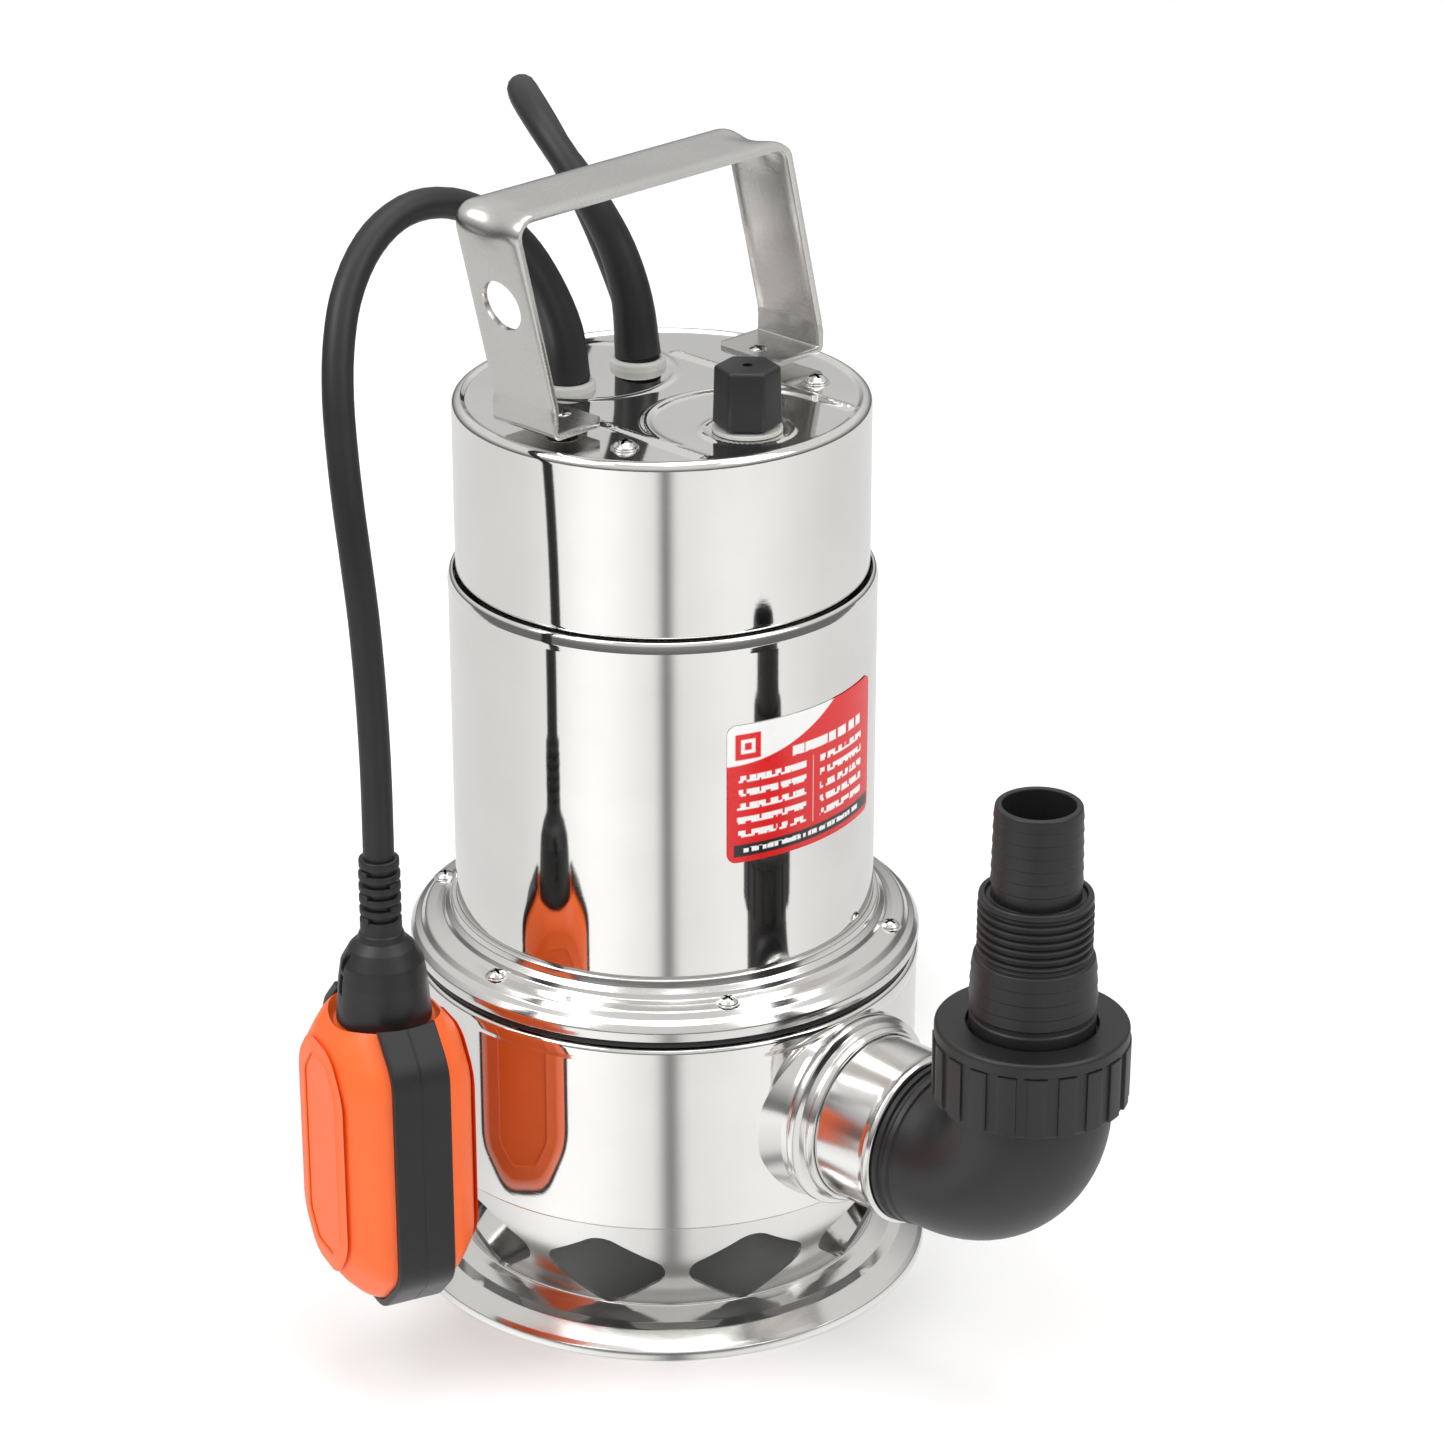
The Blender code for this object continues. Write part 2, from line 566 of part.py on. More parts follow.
# Outlet fittings ------------------------------------------------------------------------------
def outlet_fittings():
    turning = axis_empty("elbow_axis", (COLUMN_X, 0.0, OUTLET_Z), (0.0, 0.0, 0.0))
    elbow_pipe(turning)
    lift = ELBOW_TOP - OUTLET_Z
    gasket = [(0.0228, lift + 0.0013), (0.0228, lift + GAP), (0.0196, lift + GAP),
              (0.0196, lift + 0.0013)]
    turned("elbow_gasket", gasket, "black_rubber", MID_STEPS, parent=turning)

    seat = ELBOW_TOP + 0.0016
    up = [
        (0.0108, ADAPTER_TOP), (0.0121, ADAPTER_TOP), (0.0125, ADAPTER_TOP - 0.0012),
        (0.0129, 0.1836), (0.0126, 0.1834), (0.0130, 0.1746), (0.0127, 0.1744),
        (0.0131, 0.1656), (0.0164, 0.1650), (0.0164, 0.1480), (0.0173, 0.1468),
        (0.0180, 0.1402), (0.0177, 0.1400), (0.0184, 0.1328), (0.0181, 0.1326),
        (0.0183, 0.1265), (0.0183, seat + 0.0040), (0.0222, seat + 0.0040), (0.0222, seat),
        (0.0150, seat), (ADAPTER_BORE, 0.1480), (ADAPTER_BORE, ADAPTER_TOP),
    ]
    adapter = [(r, z - OUTLET_Z) for r, z in up]
    turned("hose_adapter", adapter, "black_plastic", MID_STEPS, parent=turning)

    spinning = axis_empty("union_nut_axis", (0.0, 0.0, NUT_BOTTOM - OUTLET_Z), parent=turning)
    top, lip = NUT_TOP - NUT_BOTTOM, seat + 0.0043 - NUT_BOTTOM
    nut = [
        (0.0188, top), (NUT_R - 0.0012, top), (NUT_R, top - 0.0012), (NUT_R, 0.0),
        (ELBOW_R + 0.0005, 0.0), (ELBOW_R + 0.0005, lip), (0.0188, lip),
    ]
    turned("union_nut", nut, "black_plastic", MID_STEPS, parent=spinning)


def elbow_pipe(turning):
    """A quarter bend made as a swept tube, with its bore cut out of it."""
    start = OUTLET_END - 0.0120 - COLUMN_X
    route = [(start, 0.0), (-ELBOW_BEND, 0.0)]
    for i in range(1, 8):
        angle = math.radians(90) * i / 8
        route.append((-ELBOW_BEND + ELBOW_BEND * math.sin(angle),
                      ELBOW_BEND - ELBOW_BEND * math.cos(angle)))
    route += [(0.0, ELBOW_BEND), (0.0, ELBOW_TOP - OUTLET_Z)]
    body = add_part("elbow", swept("elbow", route, ELBOW_R, MID_STEPS), "black_plastic",
                    parent=turning)
    longer = [(start - 0.01, 0.0), *route[1:-1], (0.0, route[-1][1] + 0.01)]
    bore = swept("elbow_bore", longer, ELBOW_BORE, MID_STEPS)
    tool = hide_cutter(bpy.data.objects.new("elbow_bore", bore))
    tool.parent = turning
    subtract(body, tool)


def swept(name, route, radius, steps):
    """A round bar along a route in the XZ plane."""
    bm = bmesh.new()
    rings = []
    for i, (x, z) in enumerate(route):
        before = Vector(route[max(i - 1, 0)])
        after = Vector(route[min(i + 1, len(route) - 1)])
        tilt = (after - before).normalized()
        side = Vector((-tilt.y, 0.0, tilt.x))
        ring = []
        for k in range(steps):
            angle = math.tau * k / steps
            offset = side * math.cos(angle) + Vector((0.0, 1.0, 0.0)) * math.sin(angle)
            ring.append(bm.verts.new(Vector((x, 0.0, z)) + offset * radius))
        rings.append(ring)
    for low, high in zip(rings, rings[1:]):
        for k in range(steps):
            on = (k + 1) % steps
            bm.faces.new((low[k], low[on], high[on], high[k]))
    bm.faces.new(rings[0])
    bm.faces.new(rings[-1])
    bmesh.ops.recalc_face_normals(bm, faces=bm.faces)
    return mesh_from(bm, name)


# Motor and impeller ---------------------------------------------------------------------------
def motor():
    bore = SHELL_R - SHEET - GAP
    core = [(bore, 0.2000), (bore, 0.1400), (0.0310, 0.1400), (0.0310, 0.2000)]
    turned("stator_core", core, "motor_iron")
    for name, low, high in (("winding_upper", 0.2003, 0.2155), ("winding_lower", 0.1245, 0.1397)):
        rim = [(0.0530, high), (0.0560, high - 0.003), (0.0560, low), (0.0340, low),
               (0.0340, high - 0.003), (0.0370, high)]
        turned(name, rim, "copper_wire", MID_STEPS)
    bracket = [
        (0.0220, 0.2305), (0.0220, 0.2225), (0.0570, 0.2225), (0.0570, 0.2185),
        (0.0140, 0.2185), (0.0140, 0.2205), (0.0173, 0.2205), (0.0173, 0.2305),
    ]
    turned("bearing_bracket", bracket, "cast_alloy", MID_STEPS)
    housing = [
        (0.0220, 0.1195), (0.0220, 0.1040), (0.0716, 0.1035), (0.0716, 0.1004),
        (0.0260, 0.1004), (0.0260, 0.0860), (0.0120, 0.0860), (0.0120, 0.1080),
        (0.0173, 0.1080), (0.0173, 0.1195),
    ]
    turned("seal_housing", housing, "cast_alloy", MID_STEPS)
    for name, low in (("bearing_upper", 0.2208), ("bearing_lower", 0.1083)):
        race = [(0.0170, low + 0.009), (0.0170, low), (0.0073, low), (0.0073, low + 0.009)]
        turned(name, race, "shaft_steel", SMALL_STEPS)
    seal = [(0.0117, 0.1060), (0.0117, 0.0863), (0.0073, 0.0863), (0.0073, 0.1060)]
    turned("shaft_seal", seal, "black_rubber", SMALL_STEPS)
    can = [(0.0, 0.028), (0.0128, 0.028), (0.0140, 0.0268), (0.0140, -0.028), (0.0, -0.028)]
    turned("capacitor", can, "ivory_plastic", SMALL_STEPS, (0.010, 0.0, 0.2450),
           (math.pi / 2, 0.0, 0.0))


def rotor():
    axis = axis_empty("rotor_axis", (0.0, 0.0, 0.0))
    shaft = [(0.0, 0.2310), (0.0060, 0.2310), (0.0070, 0.2300), (0.0070, 0.0740),
             (0.0040, 0.0740), (0.0040, 0.0560), (0.0, 0.0560)]
    turned("shaft", shaft, "shaft_steel", SMALL_STEPS, parent=axis)
    core = [(0.0298, 0.2010), (0.0298, 0.1390), (0.0073, 0.1390), (0.0073, 0.2010)]
    turned("rotor_core", core, "motor_iron", MID_STEPS, parent=axis)
    wheel = [(0.0110, 0.0830), (0.0110, 0.0800), (0.0520, 0.0800), (0.0520, 0.0770),
             (0.0110, 0.0770), (0.0110, 0.0640), (0.0043, 0.0640), (0.0043, 0.0737),
             (0.0073, 0.0737), (0.0073, 0.0830)]
    impeller = turned("impeller", wheel, "black_plastic", MID_STEPS, parent=axis)
    bm = bmesh.new()
    for i in range(6):
        around = Matrix.Rotation(math.tau * i / 6, 4, "Z")
        place = around @ Matrix.Translation((0.0310, 0.0, 0.0703))
        place = place @ Matrix.Rotation(math.radians(28), 4, "Z")
        size = Matrix.Diagonal((0.036, 0.003, 0.0146, 1.0))
        bmesh.ops.create_cube(bm, size=1.0, matrix=place @ size)
    vanes = hide_cutter(bpy.data.objects.new("impeller_vanes", mesh_from(bm, "vanes", False)))
    vanes.parent = axis
    join = impeller.modifiers.new("vanes", "BOOLEAN")
    join.operation = "UNION"
    join.object = vanes
    nut = [(0.0078, 0.0637), (0.0078, 0.0580), (0.0050, 0.0580), (0.0050, 0.0637)]
    turned("impeller_nut", nut, "zinc_screw", 6, parent=axis)


# Float ----------------------------------------------------------------------------------------
def float_outline(inset):
    """An octagon in the float's own XZ plane, inset all round from its outer size."""
    half = FLOAT_WIDTH / 2 - inset
    high, low = FLOAT_TOP - inset, FLOAT_BOTTOM + inset
    corner = max(FLOAT_CORNER - inset * 0.586, 0.004)
    return [
        (half, low + corner), (half, high - corner), (half - corner, high),
        (corner - half, high), (-half, high - corner), (-half, low + corner),
        (corner - half, low), (half - corner, low),
    ]


def open_loft(name, levels, cap):
    """Rings of (y, outline) joined by faces; the last ring is capped if asked."""
    bm = bmesh.new()
    rings = [[bm.verts.new((x, y, z)) for x, z in outline] for y, outline in levels]
    for near, far in zip(rings, rings[1:]):
        for k in range(len(near)):
            on = (k + 1) % len(near)
            bm.faces.new((near[k], near[on], far[on], far[k]))
    if cap:
        bm.faces.new(rings[-1])
    bmesh.ops.recalc_face_normals(bm, faces=bm.faces)
    middle = Vector((0.0, 0.0, (FLOAT_TOP + FLOAT_BOTTOM) / 2))
    outward = sum(face.normal.dot(face.calc_center_median() - middle) for face in bm.faces)
    if outward < 0:
        bmesh.ops.reverse_faces(bm, faces=bm.faces)
    return mesh_from(bm, name, smooth=False)


def solidify(part, thickness):
    wall = part.modifiers.new("wall", "SOLIDIFY")
    wall.thickness = thickness
    wall.offset = -1.0
    wall.use_even_offset = True


def float_switch():
    turn = (0.0, 0.0, FLOAT_TURN)
    hanging = axis_empty("float_axis", FLOAT_PIVOT, turn)
    skin = BAND_THICKNESS + GAP
    for name, side in (("float_shell_outer", -1), ("float_shell_inner", 1)):
        half = FLOAT_THICKNESS / 2
        levels = [
            (side * GAP / 2, float_outline(skin)), (side * 0.0120, float_outline(skin)),
            (side * (half - 0.0025), float_outline(0.0090)), (side * half, float_outline(0.0115)),
        ]
        part = add_part(name, open_loft(name, levels, True), "orange_plastic", parent=hanging)
        solidify(part, 0.0018)
    edge = BAND_WIDTH / 2
    hoop = open_loft("float_band", [(-edge, float_outline(0.0)), (edge, float_outline(0.0))], False)
    solidify(add_part("float_band", hoop, "black_rubber", parent=hanging), BAND_THICKNESS)

    collar = [(0.0, -0.0012), (0.0009, -0.0012), (0.0060, -0.0064), (0.0084, -0.0078),
              (0.0135, FLOAT_TOP + GAP), (0.0, FLOAT_TOP + GAP)]
    turned("float_collar", collar, "black_plastic", SMALL_STEPS, parent=hanging)
    block("float_microswitch", (0.020, 0.0065, 0.010), "black_plastic", (0.0, 0.0, -0.0300),
          parent=hanging, bevel=0.0008)
    rolling = axis_empty("float_ball_axis", (0.0, 0.0, -0.0720), parent=hanging)
    bm = bmesh.new()
    bmesh.ops.create_uvsphere(bm, u_segments=12, v_segments=8, radius=0.0060)
    add_part("float_ball", mesh_from(bm, "float_ball"), "shaft_steel", parent=rolling)
    guide = [(0.0, -0.0795), (0.0066, -0.0795), (0.0066, -0.0380), (0.0080, -0.0380),
             (0.0080, -0.0810), (0.0, -0.0810)]
    turned("float_ball_tube", guide, "ivory_plastic", SMALL_STEPS, parent=hanging)

    relief = [(0.0050, 0.0236), (0.0059, 0.0226), (0.0059, 0.0098), (0.0009, 0.0012),
              (0.0, 0.0012)]
    turned("float_strain_relief", [(0.0, 0.0236), *relief], "black_rubber", SMALL_STEPS,
           FLOAT_PIVOT)


# Coil and plug --------------------------------------------------------------------------------
def coil_frame():
    """Across, back and up from the coil's axis, which stands on the floor behind the pump."""
    centre = Vector((math.cos(COIL_AZIMUTH), math.sin(COIL_AZIMUTH), 0.0)) * COIL_DISTANCE
    return Matrix.Translation(centre) @ Matrix.Rotation(COIL_AZIMUTH - math.pi / 2, 4, "Z")


def coil_and_plug():
    place = coil_frame()
    half = COIL_COLUMNS * CABLE_R
    height = COIL_ROWS * 2 * CABLE_R
    section = [
        (COIL_RADIUS + half - 0.003, height), (COIL_RADIUS + half, height - 0.003),
        (COIL_RADIUS + half, 0.003), (COIL_RADIUS + half - 0.003, 0.0),
        (COIL_RADIUS - half + 0.003, 0.0), (COIL_RADIUS - half, 0.003),
        (COIL_RADIUS - half, height - 0.003), (COIL_RADIUS - half + 0.003, height),
    ]
    turned("cable_coil", section, "black_rubber", MID_STEPS, place.to_translation())
    tail = smooth_route(TAIL_ROUTE, CABLE_SPACING)
    tube("cable_tail", tail, "black_rubber", [CABLE_R] * len(tail), place)

    across, back, up = PLUG_CENTRE
    along = place.to_euler().z
    at = place @ Vector((across, back, up))
    body = [
        (0.0, 0.0320), (0.0165, 0.0320), (0.0180, 0.0300), (0.0180, 0.0090), (0.0150, 0.0020),
        (0.0120, -0.0030), (0.0075, -0.0090), (0.0058, -0.0260), (0.0, -0.0260),
    ]
    turn = (0.0, math.pi / 2, along)
    turned("plug_body", body, "black_rubber", SMALL_STEPS, at, turn)
    pin = [(0.0, 0.0510), (0.0016, 0.0510), (0.0024, 0.0500), (0.0024, 0.0323), (0.0, 0.0323)]
    for label, side in (("a", -1), ("b", 1)):
        offset = place.to_3x3() @ Vector((0.0, side * 0.0095, 0.0))
        turned("plug_pin_" + label, pin, "brass_pin", SCREW_STEPS, at + offset, turn)


motor_cover()
motor_shell()
for index, (x, y) in enumerate(screw_places()[:2]):
    seat = COVER_TOP + 2 * GAP + STRAP_THICKNESS
    screw("handle_screw_%d" % (index + 1), (x, y, seat), 0.0038, 0.0026)
for index, (x, y) in enumerate(screw_places()[2:]):
    screw("cover_screw_%d" % (index + 1), (x, y, COVER_TOP + GAP))
carry_handle()
vent_cap()
glands_and_cables()
flange_and_casing()
outlet()
strainer_base()
outlet_fittings()
motor()
rotor()
float_switch()
coil_and_plug()
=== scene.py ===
"""Looks of a submersible sump pump: steel shells, strap handle, float switch, outlet and cords.

Everything is in metres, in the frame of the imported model: the origin is under the foot, on the
pump's axis, +Z is up, +X points out of the outlet and the float hangs on the -Y side.
"""

import math

import bpy
from mathutils import Matrix, Vector


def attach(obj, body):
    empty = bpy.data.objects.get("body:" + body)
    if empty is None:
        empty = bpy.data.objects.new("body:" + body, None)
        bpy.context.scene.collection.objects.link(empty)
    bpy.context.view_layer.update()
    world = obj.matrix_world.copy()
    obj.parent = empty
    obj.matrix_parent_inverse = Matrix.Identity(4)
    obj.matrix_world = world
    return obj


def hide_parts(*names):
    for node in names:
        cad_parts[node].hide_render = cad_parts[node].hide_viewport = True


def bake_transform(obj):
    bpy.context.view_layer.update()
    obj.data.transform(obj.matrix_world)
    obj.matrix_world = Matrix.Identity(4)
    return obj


bl_info = {
    "name": "Sump pump looks",
    "version": (1, 0, 0),
    "blender": (4, 5, 0),
    "location": "3D View > Sidebar > Sump Pump",
    "description": "Models and finishes a submersible sump pump around its packed frame",
    "category": "Object",
}

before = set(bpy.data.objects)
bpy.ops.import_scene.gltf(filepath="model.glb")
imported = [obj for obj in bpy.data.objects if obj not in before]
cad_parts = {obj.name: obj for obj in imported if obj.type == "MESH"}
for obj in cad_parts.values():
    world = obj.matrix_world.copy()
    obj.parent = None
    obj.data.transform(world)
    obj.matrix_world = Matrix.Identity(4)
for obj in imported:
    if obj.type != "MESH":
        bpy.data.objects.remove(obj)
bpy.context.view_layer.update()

# Heights and radii of the housing
GAP = 0.0003
SHEET = 0.0012
COVER_R, COVER_TOP = 0.0610, 0.2761
SHELL_R, SHELL_TOP, SHELL_BOTTOM = 0.06325, 0.2233, 0.1167
CASING_R, CASING_TOP, CASING_BOTTOM = 0.0769, 0.1019, 0.0425
FLANGE_SCREW_R = 0.0700
FOOT_R = 0.0807
OUTLET_Z, OUTLET_R, OUTLET_BORE, OUTLET_END = 0.0716, 0.0252, 0.0243, 0.1075
COLUMN_X = 0.146
ELBOW_SLICES = 22
ELBOW_R, ELBOW_BORE, ELBOW_BEND, ELBOW_TOP = 0.0235, 0.0190, 0.028, 0.1170

MERGE = 0.000002                # vertices closer than this are one
ROUND = 176                     # sides of the big turned shells
FINE = 128
MEDIUM = 96
SMALL = 48

GLAND_X, GLAND_Y = -0.0244, 0.0145
CAP_X, CAP_Y = 0.0385, -0.0044
CABLE_R = 0.0045
FLOAT_PIVOT = Vector((0.0, -0.114, 0.1425))
FLOAT_TURN = math.radians(-20)
COIL_AZIMUTH = math.radians(135)
COIL_DISTANCE = 0.1545

UP = Vector((0.0, 0.0, 1.0))


# Sizes and colours that a user would change
def length_property(name, description, default):
    return bpy.props.FloatProperty(name=name, description=description, default=default,
                                   min=0.0001, precision=4, unit="LENGTH")


def colour_property(name, description, default):
    return bpy.props.FloatVectorProperty(name=name, description=description, default=default,
                                         size=3, min=0.0, max=1.0, subtype="COLOR")


class PumpSizes(bpy.types.PropertyGroup):
    """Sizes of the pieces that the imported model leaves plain."""
    cable: length_property("Cable", "Outside diameter of both cables", 2 * CABLE_R)
    float_lead: length_property("Float lead", "Length of the float switch's cable", 0.29)
    power_lead: length_property("Power lead", "Length of the mains lead", 9.5)
    bead: length_property("Bead height", "Height of the pressed beads on the motor cover", 0.0008)
    strap: length_property("Strap thickness", "Thickness of the handle's strip", 0.0018)
    rib: length_property("Nut rib", "Height of the union nut's ribs", 0.0008)
    thread: length_property("Thread depth", "Depth of the adapter's thread", 0.0012)


class PumpColours(bpy.types.PropertyGroup):
    """Base colours of the finishes."""
    steel: colour_property("Polished steel", "Mirror-polished stainless sheet", (0.82, 0.81, 0.79))
    strap: colour_property("Strap", "Satin stainless strip", (0.62, 0.61, 0.59))
    plastic: colour_property("Black plastic", "Moulded fittings", (0.012, 0.012, 0.013))
    rubber: colour_property("Black rubber", "Cable sheath, seals and band", (0.009, 0.009, 0.010))
    grommet: colour_property("Grey rubber", "Rings round the cables", (0.50, 0.50, 0.48))
    float_body: colour_property("Float", "Orange float shells", (0.90, 0.128, 0.013))
    plate: colour_property("Rating plate", "Red field of the rating plate", (0.70, 0.012, 0.014))


def sizes():
    return bpy.context.scene.pump_sizes


def colours():
    return bpy.context.scene.pump_colours


# Materials
class Wire:
    """A shader socket; Python's operators on it add the Math nodes that they stand for."""

    def __init__(self, tree, socket):
        self.tree = tree
        self.socket = socket

    def maths(self, operation, *values, clamp=False):
        node = self.tree.nodes.new("ShaderNodeMath")
        node.operation = operation
        node.use_clamp = clamp
        for place, value in zip(node.inputs, values):
            join(self.tree, place, value)
        return Wire(self.tree, node.outputs[0])

    def __add__(self, other):
        return self.maths("ADD", self, other)

    __radd__ = __add__

    def __sub__(self, other):
        return self.maths("SUBTRACT", self, other)

    def __mul__(self, other):
        return self.maths("MULTIPLY", self, other)

    __rmul__ = __mul__

    def __truediv__(self, other):
        return self.maths("DIVIDE", self, other)

    def ramp(self, low, high):
        """0 at low and 1 at high, clamped; low may be the larger."""
        return self.maths("MULTIPLY", self - low, 1.0 / (high - low), clamp=True)

    def bump_at(self, centre, width):
        """A bell of height 1 round a value."""
        away = (self - centre) / width
        return self.maths("EXPONENT", away * away * -1.0)


def join(tree, place, value):
    if isinstance(value, Wire):
        tree.links.new(value.socket, place)
    else:
        place.default_value = value


class Finish:
    """A procedural material with one Principled shader."""

    def __init__(self, name, **fixed):
        self.material = bpy.data.materials.new(name)
        self.material.use_nodes = True
        self.tree = self.material.node_tree
        self.shader = self.tree.nodes["Principled BSDF"]
        self.place = self.node("ShaderNodeTexCoord", output="Object")
        self.set(**fixed)

    def node(self, kind, settings=None, output=0, **values):
        """Adds a node: its settings first, then the values or links of its sockets."""
        node = self.tree.nodes.new(kind)
        for key, value in (settings or {}).items():
            setattr(node, key, value)
        for key, value in values.items():
            name = key.replace("_", " ")
            sockets = [s for s in node.inputs if s.name == name and s.enabled]
            join(self.tree, sockets[0], value)
        return Wire(self.tree, node.outputs[output])

    def set(self, **values):
        for key, value in values.items():
            if isinstance(value, tuple) and len(value) == 3:
                value = (*value, 1.0)
            join(self.tree, self.shader.inputs[key.replace("_", " ")], value)
        return self

    def noise(self, scale, detail=3.0, stretch=(1.0, 1.0, 1.0)):
        spread = self.node("ShaderNodeMapping", Vector=self.place, Scale=stretch)
        return self.node("ShaderNodeTexNoise", Vector=spread, Scale=scale, Detail=detail)

    def mix(self, factor, first, second):
        """Blends two colours."""
        node = self.tree.nodes.new("ShaderNodeMix")
        node.data_type = "RGBA"
        join(self.tree, node.inputs["Factor"], factor)
        for place, colour in zip((node.inputs[6], node.inputs[7]), (first, second)):
            join(self.tree, place, colour if isinstance(colour, Wire) else (*colour, 1.0))
        return Wire(self.tree, node.outputs[2])

    def axes(self, where=None):
        spread = self.tree.nodes.new("ShaderNodeSeparateXYZ")
        self.tree.links.new((where or self.place).socket, spread.inputs[0])
        return [Wire(self.tree, s) for s in spread.outputs]

    def bump(self, height, distance, strength=1.0):
        self.set(Normal=self.node("ShaderNodeBump", Height=height, Distance=distance,
                                  Strength=strength))
        return self


def shade(colour, factor):
    return tuple(min(1.0, c * factor) for c in colour)


def steel_finish(name, colour, rough, grain, stretch, streak=0.035):
    """Metal with a fine grain drawn out along one direction and faint cloudy patches."""
    made = Finish(name + ".look", Metallic=1.0)
    lines = made.noise(grain, 4.0, stretch)
    clouds = made.noise(38.0, 3.0)
    made.set(Base_Color=made.mix(clouds.ramp(0.32, 0.70), shade(colour, 0.965),
                                 shade(colour, 1.02)))
    made.set(Roughness=rough + streak * lines + clouds * 0.02)
    return made.bump(lines, 0.00002, 0.25)


def screw_finish(name, colour):
    """Zinc plate with painted shade down in the cross recess; only the screws have that attribute.
    """
    made = steel_finish(name, colour, 0.15, 800.0, (1.0, 1.0, 1.0), 0.08)
    # Painted shade: where the recess attribute is set, the base colour drops to a tenth to stand in
    # for the shade in the cross recess.
    recess = made.node("ShaderNodeAttribute", {"attribute_name": "recess"}, output=2)
    return made.set(Base_Color=made.mix(recess, colour, shade(colour, 0.10)))


def moulded_finish(name, colour, rough, grain=900.0, depth=0.00003, wear=0.25):
    """Moulded plastic or rubber: a fine even skin, slightly uneven in shade and gloss."""
    made = Finish(name + ".look", IOR=1.47)
    skin = made.noise(grain, 2.0)
    patch = made.noise(55.0, 4.0)
    made.set(Base_Color=made.mix(patch.ramp(0.3, 0.7), shade(colour, 1.0 - wear / 2),
                                 shade(colour, 1.0 + wear)))
    made.set(Roughness=rough + (patch - 0.5) * 0.16)
    return made.bump(skin, depth, 0.6)


def make_finishes():
    """Makes every finish; the slots of the record use the same names."""
    tint = colours()
    even = (1.0, 1.0, 1.0)
    steel_finish("polished_steel", tuple(tint.steel), 0.035, 260.0, (1.0, 1.0, 9.0), 0.03)
    steel_finish("pressed_steel", shade(tint.steel, 0.92), 0.11, 420.0, (1.0, 1.0, 9.0), 0.09)
    steel_finish("brushed_strap", tuple(tint.strap), 0.20, 1500.0, (14.0, 1.0, 1.0), 0.10)
    screw_finish("zinc_screw", (0.68, 0.68, 0.66))
    steel_finish("cast_alloy", (0.55, 0.56, 0.57), 0.38, 420.0, even, 0.15)
    steel_finish("shaft_steel", (0.62, 0.62, 0.64), 0.16, 900.0, (1.0, 1.0, 12.0), 0.1)
    steel_finish("copper_wire", (0.72, 0.30, 0.14), 0.30, 700.0, (1.0, 1.0, 14.0), 0.2)
    steel_finish("motor_iron", (0.24, 0.24, 0.26), 0.36, 500.0, (1.0, 1.0, 30.0), 0.2)
    steel_finish("brass_pin", (0.80, 0.60, 0.28), 0.16, 900.0, even, 0.1)
    moulded_finish("black_plastic", tuple(tint.plastic), 0.42)
    moulded_finish("black_rubber", tuple(tint.rubber), 0.46, 1300.0)
    moulded_finish("grey_rubber", tuple(tint.grommet), 0.45, 1100.0, wear=0.12)
    moulded_finish("orange_plastic", tuple(tint.float_body), 0.42, 700.0, 0.00002, 0.05)
    moulded_finish("ivory_plastic", (0.74, 0.72, 0.64), 0.42, wear=0.1)


def finish(name):
    """The finish of that name; the first call makes them all."""
    if name + ".look" not in bpy.data.materials:
        make_finishes()
    return bpy.data.materials[name + ".look"]


# Modelling by hand, in steps
def deselect():
    bpy.ops.object.select_all(action="DESELECT")


def only(piece):
    deselect()
    piece.select_set(True)
    bpy.context.view_layer.objects.active = piece


def edit(piece):
    only(piece)
    bpy.ops.object.mode_set(mode="EDIT")


def leave():
    bpy.ops.object.mode_set(mode="OBJECT")


def select_all():
    bpy.ops.mesh.select_all(action="SELECT")


def primitive(kind, name, location=(0.0, 0.0, 0.0), **settings):
    """Adds one of Blender's mesh primitives."""
    deselect()
    getattr(bpy.ops.mesh, "primitive_%s_add" % kind)(location=location, **settings)
    piece = bpy.context.object
    piece.name = piece.data.name = name
    return piece


def draw_line(name, points, closed=False):
    """One vertex, extruded from point to point; leaves edit mode on with all selected."""
    piece = primitive("plane", name, size=0.001)
    bpy.ops.object.mode_set(mode="EDIT")
    bpy.ops.mesh.select_mode(type="VERT")
    select_all()
    bpy.ops.mesh.merge(type="CENTER")
    points = [Vector(p) for p in points]
    bpy.ops.transform.translate(value=points[0])
    for here, there in zip(points, points[1:] + points[:closed]):
        bpy.ops.mesh.extrude_vertices_move(TRANSFORM_OT_translate={"value": there - here})
    select_all()
    if closed:
        bpy.ops.mesh.remove_doubles(threshold=0.000001)
    return piece


def draw_out(*steps):
    """Extrudes what is selected, once for each step."""
    for step in steps:
        bpy.ops.mesh.extrude_region_move(TRANSFORM_OT_translate={"value": step})


def outward():
    """Merges what meets and turns the faces outwards; the piece is in edit mode."""
    select_all()
    bpy.ops.mesh.remove_doubles(threshold=MERGE)
    bpy.ops.mesh.normals_make_consistent(inside=False)


def facing_out(piece):
    edit(piece)
    select_all()
    bpy.ops.mesh.normals_make_consistent(inside=False)
    leave()


def facing_from(piece, middle, wanted=lambda face: True):
    """Turns an open sheet over if its faces look towards the middle."""
    if sum((f.center - middle).dot(f.normal) for f in piece.data.polygons if wanted(f)) < 0:
        piece.data.flip_normals()


def turned(name, profile, steps=ROUND, closed=False):
    """A section of (radius, height) points, down its outer side, spun about Z."""
    piece = draw_line(name, [(r, 0.0, z) for r, z in profile], closed)
    bpy.ops.mesh.spin(steps=steps, angle=math.tau, center=(0.0, 0.0, 0.0), axis=(0.0, 0.0, 1.0))
    outward()
    leave()
    return piece


